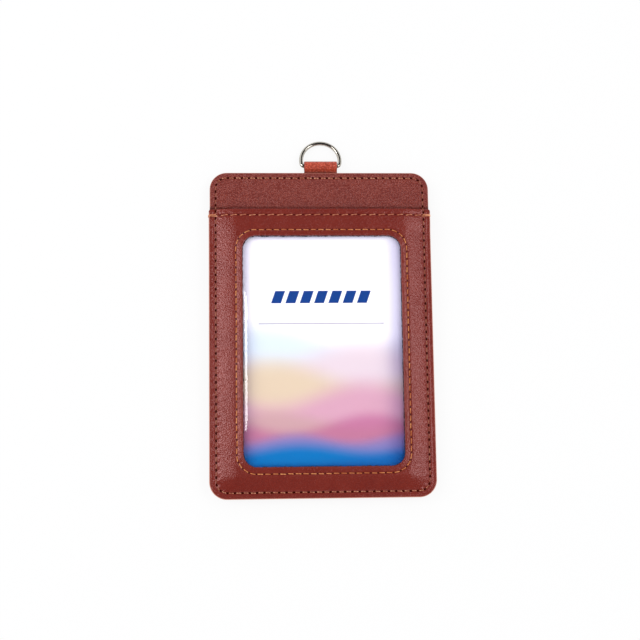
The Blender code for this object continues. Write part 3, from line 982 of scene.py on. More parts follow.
@dataclass(frozen=True)
class PrintFinish:
    """Coated card with an offset print: soft hills of pastel that deepen to blue, a row of slanting
    blocks and a thin line.
    """

    name: str
    paper: str
    waves: tuple[Wave, ...]
    rules: tuple[Rule, ...]
    roughness: float = 0.38
    slant: float = 0.35
    soft_edge: float = 0.06

    def material(self) -> bpy.types.Material:
        """Builds the material; every motif is worked out from the card's own x and y, in mm.

        Returns:
            The material.
        """
        finish, add = new_material(self.name)
        place = add("TexCoord")["Object"]
        sized = add("VectorMath", {0: place, "Scale": 1 / MM}, operation="SCALE")["Vector"]
        parts = add("SeparateXYZ", {0: sized})
        colour = add("CombineColor", dict(enumerate(linear(self.paper)[:3])))[0]
        for wave in self.waves:
            cover = self.under_wave(add, wave, parts["X"], parts["Y"])
            colour = add("Mix", {"Factor": cover, "A": colour, "B": linear(wave.colour)}, **COLOURS)["Result"]
        for rule in self.rules:
            mark = self.on_rule(add, rule, parts["X"], parts["Y"])
            colour = add("Mix", {"Factor": mark, "A": colour, "B": linear(rule.colour)}, **COLOURS)["Result"]
        surface = {"Base Color": colour, "Roughness": self.roughness, "IOR": 1.45, "Specular IOR Level": 0.1}
        add("OutputMaterial", {"Surface": add("BsdfPrincipled", surface)[0]})
        return finish

    def under_wave(self, add: AddNode, wave: Wave, *place: Socket) -> Socket:
        """A socket: how far a place lies in one hill of colour.

        Args:
            add: adds a node to the material's tree.
            wave: the hill.
            place: sockets for x and y, in mm.

        Returns:
            A socket from 0 at the hill's line to its strength well inside.
        """
        across, along = place
        pace = FULL_TURN / wave.length
        phase = add("Math", {0: across, 1: pace, 2: wave.phase}, operation="MULTIPLY_ADD")[0]
        crest = add("Math", {0: phase}, operation="SINE")[0]
        line = add("Math", {0: crest, 1: wave.height, 2: wave.level}, operation="MULTIPLY_ADD")[0]
        depth = add("Math", {0: line, 1: along}, operation="SUBTRACT")[0]
        fade = {"Value": depth, "From Min": 0.0, "From Max": wave.softness, "To Max": wave.strength}
        return add("MapRange", fade, interpolation_type="SMOOTHERSTEP")["Result"]

    def on_rule(self, add: AddNode, rule: Rule, *place: Socket) -> Socket:
        """A socket: 1 on one printed line, or on its blocks, and 0 off it.

        Args:
            add: adds a node to the material's tree.
            rule: the line.
            place: sockets for x and y, in mm.

        Returns:
            The socket.
        """
        across, along = place
        sideways = add("Math", {0: across, 1: rule.middle}, operation="SUBTRACT")[0]
        upwards = add("Math", {0: along, 1: rule.level}, operation="SUBTRACT")[0]
        leaning = add("Math", {0: upwards, 1: -self.slant, 2: sideways}, operation="MULTIPLY_ADD")[0]
        inside = []
        for distance, half in ((leaning, rule.half_length), (upwards, rule.half_width)):
            size = add("Math", {0: distance}, operation="ABSOLUTE")[0]
            border = {"Value": size, "From Min": half + self.soft_edge, "From Max": half - self.soft_edge}
            inside.append(add("MapRange", border)["Result"])
        mark = add("Math", {0: inside[0], 1: inside[1]}, operation="MULTIPLY")[0]
        if not rule.pitch:
            return mark
        beat = add("Math", {0: leaning, 1: rule.pitch / 2}, operation="PINGPONG")[0]
        half_block = 0.36 * rule.pitch
        gaps = {"Value": beat, "From Min": half_block, "From Max": half_block - 2 * self.soft_edge}
        block = add("MapRange", gaps)["Result"]
        return add("Math", {0: mark, 1: block}, operation="MULTIPLY")[0]


@dataclass(frozen=True)
class NickelFinish:
    """Drawn steel wire, bent and then nickel plated: a bright mirror with faint handling marks."""

    name: str
    colour: str
    edge: str
    roughness: float = 0.11

    def material(self) -> bpy.types.Material:
        """Builds the material; the marks are 1.2 mm apart and only dull the mirror.

        Returns:
            The material.
        """
        finish, add = new_material(self.name)
        place = add("TexCoord")["Object"]
        marks = add("TexNoise", {"Vector": place, "Scale": per_mm(1.2), "Detail": 5.0})["Fac"]
        dulled = {
            "Value": marks,
            "From Min": 0.35,
            "From Max": 0.75,
            "To Min": self.roughness,
            "To Max": self.roughness + 0.12,
        }
        surface = {
            "Base Color": linear(self.colour),
            "Metallic": 1.0,
            "Roughness": add("MapRange", dulled)["Result"],
            "Normal": add("Bump", {"Height": marks, "Strength": 0.15, "Distance": 0.02 * MM})["Normal"],
            "Specular Tint": linear(self.edge),
        }
        add("OutputMaterial", {"Surface": add("BsdfPrincipled", surface)[0]})
        return finish


@dataclass(frozen=True)
class FibreFinish:
    """Pressed fibre sheet, such as board or a lining's cut edge: matt, with short fibres in it."""

    name: str
    dark: str
    light: str
    fibre: float = 0.4
    roughness: float = 0.85

    def material(self) -> bpy.types.Material:
        """Builds the material; its fibres are 0.4 mm long flecks of the lighter colour.

        Returns:
            The material.
        """
        finish, add = new_material(self.name)
        place = add("TexCoord")["Object"]
        fleck = add("TexNoise", {"Vector": place, "Scale": per_mm(self.fibre), "Detail": 3.0})["Fac"]
        tones = {"Factor": fleck, "A": linear(self.dark), "B": linear(self.light)}
        surface = {
            "Base Color": add("Mix", tones, **COLOURS)["Result"],
            "Roughness": self.roughness,
            "Normal": add("Bump", {"Height": fleck, "Strength": 0.6, "Distance": 0.05 * MM})["Normal"],
        }
        add("OutputMaterial", {"Surface": add("BsdfPrincipled", surface)[0]})
        return finish


def hand_over(
    piece: bpy.types.Object,
    finish: bpy.types.Material,
    body: Body,
    slot: Slot,
    *nodes: str,
) -> bpy.types.Object:
    """Dresses a piece, lets it ride on its body and stand for its nodes, and reports it.

    Args:
        piece: the finished piece.
        finish: its material.
        body: the body that it rides on.
        slot: the record's slot for its finish; not used.
        nodes: the nodes of the frame that it stands for.

    Returns:
        The piece.
    """
    piece.data.materials.append(finish)
    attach(piece, body.value)
    if nodes:
        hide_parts(*nodes)
    log.info("%s: %d faces, rides on %s", piece.name, len(piece.data.polygons), body.value)
    return piece


@dataclass
class Cover:
    """The front leather with its window and turned hem, and the dark lining that edges the window.

    The cut edge shows where the leather lies cut_from below its face, up to cut_stop under the mouth.
    Its underside drops to the ply below within rim_width of the edge, clear of the card by the side
    and foot gaps.
    """

    plan: Plan
    finish: LeatherFinish
    lining_finish: FibreFinish
    edge_rounding: float = 0.38 * MM
    cut_rounding: float = 0.38 * MM
    closing: float = 0.26 * MM
    seam_reach: float = 0.55 * MM
    low_edge: float = 0.1 * MM
    low_cut: float = 0.08 * MM
    cut_width: float = 0.3 * MM
    cut_from: float = 0.02 * MM
    cut_blend: float = 0.06 * MM
    cut_stop: float = 1 * MM
    hem_step: float = 0.3 * MM
    rim_width: float = 2.5 * MM
    side_gap: float = 2 * MM
    side_run: float = 3 * MM
    foot_gap: float = 1 * MM
    foot_run: float = 1.5 * MM
    spans: Spans = Spans(16, 210, 300)
    lining_thickness: float = 0.2 * MM
    lining_show: float = 0.16 * MM
    lining_lap: float = 1.2 * MM
    lining_gap: float = 0.02 * MM
    fray_depth: float = 0.045 * MM

    def build(self) -> None:
        """Makes both pieces."""
        leather = self.leather()
        for seam in (self.plan.edge_seam, self.plan.window_seam, self.plan.mouth_seam):
            map_seam(leather, seam)
        hand_over(leather, self.finish.material(), Body.HOLDER, Slot.BODY_LEATHER, "window_panel")
        hand_over(self.lining(), self.lining_finish.material(), Body.HOLDER, Slot.BODY_LEATHER)

    def leather(self) -> bpy.types.Object:
        """The leather: loops from the outer edge over the face to the window, and back underneath.

        The outer and window edges are quarter circles. Between them the face follows Plan.cover_face,
        and the underside Plan.under less the turned ply and, at the rim, the gap to the ply below.

        Returns:
            The piece.
        """
        plan = self.plan
        outline = plan.cover
        seam = replace(plan.edge_seam.line, top=plan.mouth_seam.level, high_radius=plan.mouth_corner)
        window_line = plan.window_seam.line
        reach = self.seam_reach
        boxes, drops = [], []
        for turn in np.linspace(0, math.pi / 2, 6):
            boxes.append(outline.grown(-self.edge_rounding * (1 - math.cos(turn))))
            drops.append(self.edge_rounding * (1 - math.sin(turn)))
        inner = outline.grown(-self.edge_rounding)
        boxes += [inner.towards(seam.grown(reach), share) for share in np.linspace(0, 1, 9)[1:]]
        boxes += [seam.grown(out) for out in np.linspace(reach, -reach, 9)[1:]]
        rise = seam.grown(-reach)
        boxes += [rise.towards(window_line.grown(reach), share) for share in np.linspace(0, 1, 21)[1:]]
        boxes += [window_line.grown(out) for out in np.linspace(reach, -reach, 9)[1:]]
        lip = window_line.grown(-reach)
        cut = plan.window.grown(self.cut_rounding)
        boxes += [lip.towards(cut, share) for share in np.linspace(0, 1, 4)[1:]]
        drops += [0.0] * (len(boxes) - len(drops))
        for turn in np.linspace(math.pi / 2, 0, 5)[1:]:
            boxes.append(plan.window.grown(self.cut_rounding * (1 - math.cos(turn))))
            drops.append(self.cut_rounding * (1 - math.sin(turn)))
        top = [(box.loop(self.spans), drop) for box, drop in zip(boxes, drops)]
        faces = [raised(loop, plan.cover_face(*loop.T) - drop) for loop, drop in top]
        lower = [plan.window, plan.window.grown(self.low_cut), window_line]
        lower += [window_line.towards(seam, share) for share in np.linspace(0, 1, 9)[1:]]
        lower += [seam.towards(outline, 0.5), outline.grown(-self.low_edge), outline]
        lifts = [self.low_cut] + [0.0] * (len(lower) - 2) + [self.low_edge]
        for box, lift in zip(lower, lifts):
            loop = box.loop(self.spans)
            faces.append(raised(loop, self.underside(*loop.T) + lift))
        piece = closed_skin("cover_leather", np.stack(faces))
        x, y, z = plan_points(piece)
        below = plan.under(x, y) + plan.leather - z
        at_side = (outline.inset(x, y) < self.cut_width) & (y < outline.top - self.cut_stop)
        write_attribute(piece, "edge", smooth_step((below - self.cut_from) / self.cut_blend) * at_side)
        return piece

    def underside(self, x: np.ndarray, y: np.ndarray) -> np.ndarray:
        """The underside's height: the frame's, less the turned ply at the hem and the gap at the rim.

        Args:
            x: places across.
            y: places along.

        Returns:
            The height at each place.
        """
        plan = self.plan
        hem = smooth_step((y - plan.cover.top + plan.hem_width) / self.hem_step)
        rim = smooth_step(1 - plan.cover.inset(x, y) / self.rim_width)
        at_sides = smooth_step((np.abs(x) - plan.card.right - self.side_gap) / self.side_run)
        at_foot = smooth_step((plan.card.bottom - self.foot_gap - y) / self.foot_run)
        sewn = rim * np.maximum(at_sides, at_foot)
        return plan.under(x, y) - plan.hem_ply * hem - self.closing * sewn

    def lining(self) -> bpy.types.Object:
        """The thin dark ply under the window's edge: a flat ring whose inner edge is frayed by a noise.

        Returns:
            The piece.
        """
        plan = self.plan
        spans = Spans(40, 260, 380)
        high = plan.plateau - plan.leather - self.lining_gap
        outer = plan.window.grown(self.lining_lap).loop(spans)
        inner = plan.window.grown(-self.lining_show).loop(spans)
        guide = plan.window.grown(-2 * MM).loop(spans)
        inwards = (guide - inner) / np.linalg.norm(guide - inner, axis=1, keepdims=True)
        rng = np.random.default_rng(7)
        fray = rng.normal(0, 1, len(inner))
        fray = (fray + np.roll(fray, 1) + 0.6 * np.roll(fray, 3)) * self.fray_depth
        frayed = inner + inwards * fray[:, None]
        low = high - self.lining_thickness
        loops = [raised(outer, low), raised(outer, high), raised(frayed, high), raised(frayed, low)]
        return closed_skin("window_lining", np.stack(loops))


@dataclass
class Plies:
    """The plies behind the pocket: centre panel, core board, back panel and the slot's outer panel."""

    plan: Plan
    centre_finish: LeatherFinish
    back_finish: LeatherFinish
    board_finish: FibreFinish
    rounding: float = 0.34 * MM
    closing: float = 0.13 * MM
    spine_half: float = 0.5 * MM
    spine_radius: float = 0.4 * MM
    wave: float = 0.05 * MM
    wave_length: float = 21 * MM
    wave_run: float = 3 * MM
    spans: Spans = Spans(14, 190, 300)

    def build(self) -> None:
        """Makes the four pieces."""
        plan = self.plan
        centre = self.sheet("centre_ply", "centre_panel", plan.band_face, None)
        map_seam(centre, plan.edge_seam)
        hand_over(centre, self.centre_finish.material(), Body.HOLDER, Slot.BODY_LEATHER, "centre_panel")
        board = self.sheet("core_board_ply", "core_board", None, None)
        hand_over(board, self.board_finish.material(), Body.HOLDER, Slot.CORE_BOARD, "core_board")
        leather = self.back_finish.material()
        back = self.sheet("back_ply", "back_panel", None, self.back_relief)
        map_seam(back, plan.edge_seam)
        hand_over(back, leather, Body.HOLDER, Slot.BODY_LEATHER, "back_panel")
        slot = BackSlot(plan, self.rounding, self.closing).panel(self.back_relief)
        map_seam(slot, plan.edge_seam)
        hand_over(slot, leather, Body.HOLDER, Slot.BODY_LEATHER, "back_pocket_panel")

    def back_relief(self, x: np.ndarray, y: np.ndarray) -> np.ndarray:
        """How far the back's leather is pressed in: the edge seam's groove, a crease and a slow wave.

        Args:
            x: places across.
            y: places along.

        Returns:
            The depth at each place.
        """
        plan = self.plan
        crease = plan.crease_depth * bump_at(plan.ply.inset(x, y) - plan.crease_inset, plan.crease_half)
        groove = pressed_by(plan.edge_seam, x, y, plan.back_press * plan.groove, plan.groove_half, 0)
        open_sheet = smooth_step(plan.edge_seam.offset(x, y) / self.wave_run)
        return crease - groove + self.wave * open_sheet * (1 + waviness(x, y, self.wave_length, seed=4.4))

    def sheet(self, name: str, node: str, face: Formula | None, relief: Formula | None) -> bpy.types.Object:
        """A flat ply with rounded edges, its rings closing in on a short line down its middle.

        Args:
            name: the piece's name.
            node: the node whose outline and heights it takes.
            face: a formula for the height of its front, or None for a flat one.
            relief: a formula for how far its back is pressed in, or None.

        Returns:
            The piece.
        """
        low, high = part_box(node)
        bottom = low.z - (self.closing if low.z > self.plan.leather / 2 else 0)
        thick = high.z - bottom
        outline = outline_of(node, 0, self.plan.ply.low_radius)
        half = (high.x - low.x) / 2 - self.spine_half
        spine = replace(outline.grown(-half), low_radius=self.spine_radius, high_radius=self.spine_radius)
        radius = min(self.rounding, thick * 0.42)
        inner = outline.grown(-radius)
        shares = np.concatenate([np.linspace(0, 0.08, 14)[1:], np.linspace(0.08, 1, 16)[1:]])
        rings = []
        for turn in np.linspace(0, math.pi / 2, 5):
            rounded = outline.grown(-radius * (1 - math.cos(turn)))
            rings.append((rounded.loop(self.spans), radius * (1 - math.sin(turn))))
        rings += [(inner.towards(spine, share).loop(self.spans), 0.0) for share in shares]
        loops = []
        for loop, drop in rings[::-1]:
            lift = 0 if relief is None else relief(*loop.T)
            loops.append(raised(loop, bottom + lift + drop))
        for loop, drop in rings:
            top = high.z if face is None else face(*loop.T)
            loops.append(raised(loop, top - drop))
        piece = capped_skin(name, np.stack(loops))
        x, y, z = plan_points(piece)
        middle = 1 - np.abs(z - (bottom + high.z) / 2) / (thick / 2)
        write_attribute(piece, "edge", smooth_step(middle * 3) * (outline.inset(x, y) < radius))
        return piece


@dataclass
class BackSlot:
    """The outer panel of the slot on the back, cut with a half-round thumb notch at its mouth."""

    plan: Plan
    rounding: float
    closing: float
    notch_radius: float = 9.0 * MM
    shoulder_radius: float = 2.0 * MM

    def outline(self) -> tuple[np.ndarray, np.ndarray, np.ndarray]:
        """The outline from the middle of the foot, anticlockwise, with matching points of an inner box.

        Returns:
            The outline's points, its outward directions, and the inner points that rings close in on.
        """
        low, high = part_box("back_pocket_panel")
        corner = self.plan.ply.low_radius
        big, small = self.notch_radius, self.shoulder_radius
        reach = math.sqrt((big + small) ** 2 - small**2)
        tilt = math.asin(small / (big + small))
        half = high.x
        stretches = [
            np.linspace((0, low.y), (half - corner, low.y), 90)[:-1],
            arc(half - corner, low.y + corner, corner, np.linspace(-math.pi / 2, 0, 15)),
            np.linspace((half, low.y + corner), (half, high.y), 240)[1:],
            np.linspace((half, high.y), (reach, high.y), 80)[1:-1],
            arc(reach, high.y - small, small, np.linspace(math.pi / 2, math.pi - tilt, 12)),
            arc(0, high.y, big, np.linspace(-tilt, -math.pi / 2, 40)[1:]),
        ]
        right, foot, head = half - 22 * MM, low.y + 22 * MM, high.y - 25 * MM
        stops = [(0, foot), (right, foot), (right, foot), (right, head)]
        stops += [(0.55 * right, head), (0.5 * right, head), (0, head)]
        runs = zip(stretches, stops, stops[1:])
        inner = np.concatenate([np.linspace(start, end, len(run)) for run, start, end in runs])
        points = np.concatenate(stretches)
        mirror = np.array([-1, 1])
        points = np.concatenate([points, points[1:-1][::-1] * mirror])
        inner = np.concatenate([inner, inner[1:-1][::-1] * mirror])
        along = np.roll(points, -1, 0) - np.roll(points, 1, 0)
        along /= np.linalg.norm(along, axis=1, keepdims=True)
        outwards = np.stack([along[:, 1], -along[:, 0]], 1)
        return points, outwards, inner

    def panel(self, relief: Formula) -> bpy.types.Object:
        """The panel: a rounded rim, then rings drawn towards an inner box, on both faces.

        Args:
            relief: a formula for how far the back's leather is pressed in.

        Returns:
            The piece.
        """
        low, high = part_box("back_pocket_panel")
        points, outwards, inner = self.outline()
        top = high.z + self.closing
        radius = self.rounding
        turns = np.linspace(0, math.pi / 2, 5)
        rings = [(points - outwards * radius * (1 - math.cos(t)), radius * (1 - math.sin(t))) for t in turns]
        first = points - outwards * radius
        shares = np.concatenate([np.linspace(0, 0.08, 8)[1:], np.linspace(0.08, 1, 26)[1:]])
        rings += [(first + (inner - first) * share, 0.0) for share in shares]
        loops = [raised(loop, low.z + relief(*loop.T) + drop) for loop, drop in rings[::-1]]
        loops += [raised(loop, top - drop) for loop, drop in rings]
        piece = capped_skin("back_slot_ply", np.stack(loops))
        rim = np.zeros((len(loops), len(points)))
        rim[len(shares) + 2 : len(loops) - len(shares) - 2] = 1.0
        write_attribute(piece, "edge", rim.ravel())
        return piece


@dataclass
class StitchRow:
    """A row of lockstitches: each a short arched tube that dives into a needle hole at both ends.

    A tube starts and stops an end_share of the pitch from its holes, and its arch stands a foot_share
    from them. Stitches stray by about sideways from the seam and by about uneven in height.
    """

    name: str
    seam: Seam
    ground: Formula
    radius: float = 0.16 * MM
    rise: float = 0.05 * MM
    dive: float = 0.34 * MM
    slant: float = 0.0
    upwards: int = 1
    steps: int = 8
    sides: int = 6
    end_share: float = 0.13
    foot_share: float = 0.11
    sideways: float = 0.035 * MM
    uneven: float = 0.02 * MM
    # Painted shade: how far each stitch's middle darkens, and how far a whole stitch darkens on the holder's
    # sides.
    middle_shade: float = 0.6
    side_shade: float = 0.0
    side_from: float = 33.5 * MM
    side_blend: float = 1.2 * MM
    starts: np.ndarray | None = None

    def tubes(self) -> bpy.types.Object:
        """Every stitch at once, as an array of stitches by steps by sides.

        A stitch's middle line runs from hole to hole. Its height over the ground is the sine of its
        share of the way to a small power, so that it lies flat and turns down at its ends, and it
        slants across the seam by a cosine.

        Returns:
            The piece.
        """
        starts = self.seam.starts() if self.starts is None else self.starts
        share = np.linspace(self.end_share, 1 - self.end_share, self.steps + 1)
        run = starts[:, None] + share[None, :]
        x, y = (a.reshape(run.shape) for a in self.seam.place(run.ravel()))
        ahead_x, ahead_y = (a.reshape(run.shape) for a in self.seam.place(run.ravel() + 0.02))
        along = np.stack([ahead_x - x, ahead_y - y], -1)
        along /= np.linalg.norm(along, axis=-1, keepdims=True)
        across = np.stack([-along[..., 1], along[..., 0]], -1)
        sway = self.slant * np.cos(math.pi * share)[None, :, None]
        jitter = np.random.default_rng(11).normal(0, 1, (len(starts), 3))
        wander = across * (sway + self.sideways * jitter[:, 0, None, None])
        x, y = x + wander[..., 0], y + wander[..., 1]
        arch = np.sin(math.pi * (share - self.foot_share) / (1 - 2 * self.foot_share)) ** 0.45
        lift = (-self.dive + (self.dive + self.rise) * arch)[None, :] + self.uneven * jitter[:, 1, None]
        z = self.ground(x, y) + self.upwards * lift
        line = np.stack([x, y, z], -1)
        tangent = np.gradient(line, axis=1)
        tangent /= np.linalg.norm(tangent, axis=-1, keepdims=True)
        side = np.concatenate([across, np.zeros_like(across[..., :1])], -1)
        normal = np.cross(tangent, side)
        turn = np.arange(self.sides) / self.sides * FULL_TURN
        thin = self.radius * (0.55 + 0.45 * np.sin(math.pi * share) ** 0.5)
        spoke = side[:, :, None] * np.cos(turn)[:, None] + normal[:, :, None] * np.sin(turn)[:, None]
        points = line[:, :, None] + spoke * thin[None, :, None, None]
        stitches, rows, count, _ = points.shape
        base = skin_faces(rows, count, False)
        shift = np.arange(stitches)[:, None, None] * rows * count
        faces = (base[None] + shift).reshape(-1, 4).tolist()
        first = np.arange(count)[::-1][None] + shift[:, :, 0]
        last = np.arange(count)[None] + (rows - 1) * count + shift[:, :, 0]
        piece = make_piece(self.name, points, faces + first.tolist() + last.tolist())
        length = np.broadcast_to(share[None, :, None] * self.seam.pitch / MM, (stitches, rows, count))
        round_it = np.broadcast_to(turn / FULL_TURN, (stitches, rows, count))
        self.write_lay(piece, round_it, length)
        # Painted shade: darker along each stitch's middle, as in the seam's groove, and all along on the
        # holder's sides.
        middle = np.broadcast_to((np.sin(math.pi * share) ** 5)[None, :, None], (stitches, rows, count))
        beside = smooth_step((np.abs(points[..., 0]) - self.side_from) / self.side_blend)
        write_attribute(piece, "middle", np.maximum(self.middle_shade * middle, self.side_shade * beside).ravel())
        return piece

    @staticmethod
    def write_lay(piece: bpy.types.Object, around: np.ndarray, length: np.ndarray) -> None:
        """Gives a thread its "lay" map: length in mm and turns round it.

        Args:
            piece: the thread.
            around: for each point, its share of a turn round the thread.
            length: for each point, its length along the thread in mm.
        """
        values = np.stack([around.ravel(), length.ravel()], 1)
        write_uv(piece, "lay_turned", values, 1.0)
        layer = piece.data.uv_layers["lay_turned"]
        flat = np.empty(len(piece.data.loops) * 2, np.float32)
        layer.data.foreach_get("uv", flat)
        swapped = flat.reshape(-1, 2)[:, ::-1]
        layer.data.foreach_set("uv", swapped.ravel())
        layer.name = "lay"


def tube(line: np.ndarray, plane: np.ndarray, radius: np.ndarray, sides: int) -> np.ndarray:
    """Circles carried along a line that lies in a plane.

    Args:
        line: the points of the line.
        plane: the plane's normal, which stays one axis of every circle.
        radius: the radius at each point.
        sides: the points of each circle.

    Returns:
        The loops, as an array of points by sides by 3.
    """
    tangent = np.gradient(line, axis=0)
    tangent /= np.linalg.norm(tangent, axis=1, keepdims=True)
    side = np.broadcast_to(plane, line.shape)
    normal = np.cross(tangent, side)
    turn = np.arange(sides) / sides * FULL_TURN
    spoke = side[:, None] * np.cos(turn)[:, None] + normal[:, None] * np.sin(turn)[:, None]
    return line[:, None] + spoke * np.asarray(radius)[:, None, None]


@dataclass
class Stitching:
    """Every seam's thread: round the edge, front and back, round the window, along the mouth, and tacks."""

    plan: Plan
    edge_thread: ThreadFinish
    window_thread: ThreadFinish
    mouth_thread: ThreadFinish

    def build(self) -> None:
        """Makes the rows and the two tacks."""
        plan = self.plan
        edge = self.edge_thread.material()
        front = StitchRow(
            "edge_stitches",
            plan.edge_seam,
            plan.front_face,
            radius=0.14 * MM,
            slant=0.07 * MM,
            middle_shade=0.85,
            side_shade=0.75,
        ).tubes()
        hand_over(front, edge, Body.HOLDER, Slot.SEAM_THREAD, "edge_seam_thread")
        back = StitchRow(
            "back_stitches", plan.edge_seam, self.back_face, rise=0.02 * MM, upwards=-1
        ).tubes()
        hand_over(back, edge, Body.HOLDER, Slot.SEAM_THREAD)
        window = StitchRow(
            "window_stitches",
            plan.window_seam,
            plan.cover_face,
            radius=0.165 * MM,
            rise=0.08 * MM,
            dive=0.26 * MM,
            slant=0.05 * MM,
            middle_shade=0.7,
        ).tubes()
        hand_over(window, self.window_thread.material(), Body.HOLDER, Slot.SEAM_THREAD, "window_seam_thread")
        mouth_finish = self.mouth_thread.material()
        mouth = StitchRow(
            "mouth_stitches",
            plan.mouth_seam,
            plan.cover_face,
            radius=0.15 * MM,
            rise=0.07 * MM,
            dive=0.30 * MM,
            slant=-0.17 * MM,
            middle_shade=0.9,
            starts=np.arange(1, plan.mouth_seam.count - 1),
        ).tubes()
        hand_over(mouth, mouth_finish, Body.HOLDER, Slot.SEAM_THREAD, "mouth_seam_thread")
        for side, name in ((-1, "left_tack"), (1, "right_tack")):
            hand_over(self.tack(name, side), mouth_finish, Body.HOLDER, Slot.SEAM_THREAD)

    def back_face(self, x: np.ndarray, y: np.ndarray) -> np.ndarray:
        """Height of the floor of the back's seam groove: the slot's panel up to its mouth, the back above.

        Args:
            x: places across.
            y: places along.

        Returns:
            The height at each place.
        """
        plan = self.plan
        slot_low, slot_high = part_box("back_pocket_panel")
        back_low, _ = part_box("back_panel")
        step = smooth_step((y - slot_high.y) / (0.8 * MM) + 0.5)
        floor = slot_low.z + (back_low.z - slot_low.z) * step
        return floor - pressed_by(plan.edge_seam, x, y, plan.back_press * plan.groove, plan.groove_half, 0)

    def tack(self, name: str, side: int) -> bpy.types.Object:
        """Two strands that wrap the holder's side where the mouth seam ends.

        Each strand is a smooth line through points over the face, down the side and in under the back.

        Args:
            name: the piece's name.
            side: 1 on the right, -1 on the left.

        Returns:
            The piece.
        """
        plan = self.plan
        edge = plan.cover.right
        back_low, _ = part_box("back_panel")
        level = plan.mouth_seam.level
        face = float(plan.cover_face(np.array([34.6 * MM]), np.array([level]))[0])
        strands = []
        for along, start in ((-0.32 * MM, 34.3 * MM), (0.30 * MM, 34.9 * MM)):
            stops = np.array(
                [
                    (start, face - 0.35 * MM),
                    (start + 0.35 * MM, face + 0.12 * MM),
                    (35.9 * MM, face + 0.05 * MM),
                    (edge - 0.5 * MM, face + 0.08 * MM),
                    (edge + 0.05 * MM, face - 0.35 * MM),
                    (edge + 0.14 * MM, (face + back_low.z) / 2),
                    (edge - 0.02 * MM, back_low.z + 0.3 * MM),
                    (edge - 0.5 * MM, back_low.z - 0.12 * MM),
                    (36.2 * MM, back_low.z - 0.1 * MM),
                    (35.5 * MM, back_low.z + 0.3 * MM),
                ]
            )
            line = self.through(stops, 44)
            drift = along * np.linspace(1, -0.6, len(line))
            strand = np.stack([side * line[:, 0], level + drift, line[:, 1]], 1)
            strands.append(tube(strand, np.array([0.0, -side, 0.0]), np.full(len(strand), 0.14 * MM), 8))
        loops = np.stack(strands)
        _, rows, count, _ = loops.shape
        base = skin_faces(rows, count, False)
        faces = []
        for number in range(2):
            shift = number * rows * count
            faces += (base + shift).tolist()
            faces.append([i + shift for i in range(count - 1, -1, -1)])
            faces.append([i + shift + (rows - 1) * count for i in range(count)])
        piece = make_piece(name, loops, faces)
        around = np.broadcast_to(np.arange(count) / count, loops.shape[:3])
        length = np.broadcast_to(np.linspace(0, 9, rows)[None, :, None], loops.shape[:3])
        StitchRow.write_lay(piece, around, length)
        return piece

    @staticmethod
    def through(stops: np.ndarray, count: int) -> np.ndarray:
        """A smooth line through stops: the mean of neighbouring straight runs, taken three times.

        Args:
            stops: the stops, as an array of N by 2.
            count: the points wanted.

        Returns:
            The line, as an array of count by 2.
        """
        far = np.concatenate([[0], np.cumsum(np.hypot(*np.diff(stops, axis=0).T))])
        where = np.linspace(0, far[-1], count)
        line = np.stack([np.interp(where, far, stops[:, i]) for i in range(2)], 1)
        for _ in range(3):
            line[1:-1] = (line[:-2] + 2 * line[1:-1] + line[2:]) / 4
        return line


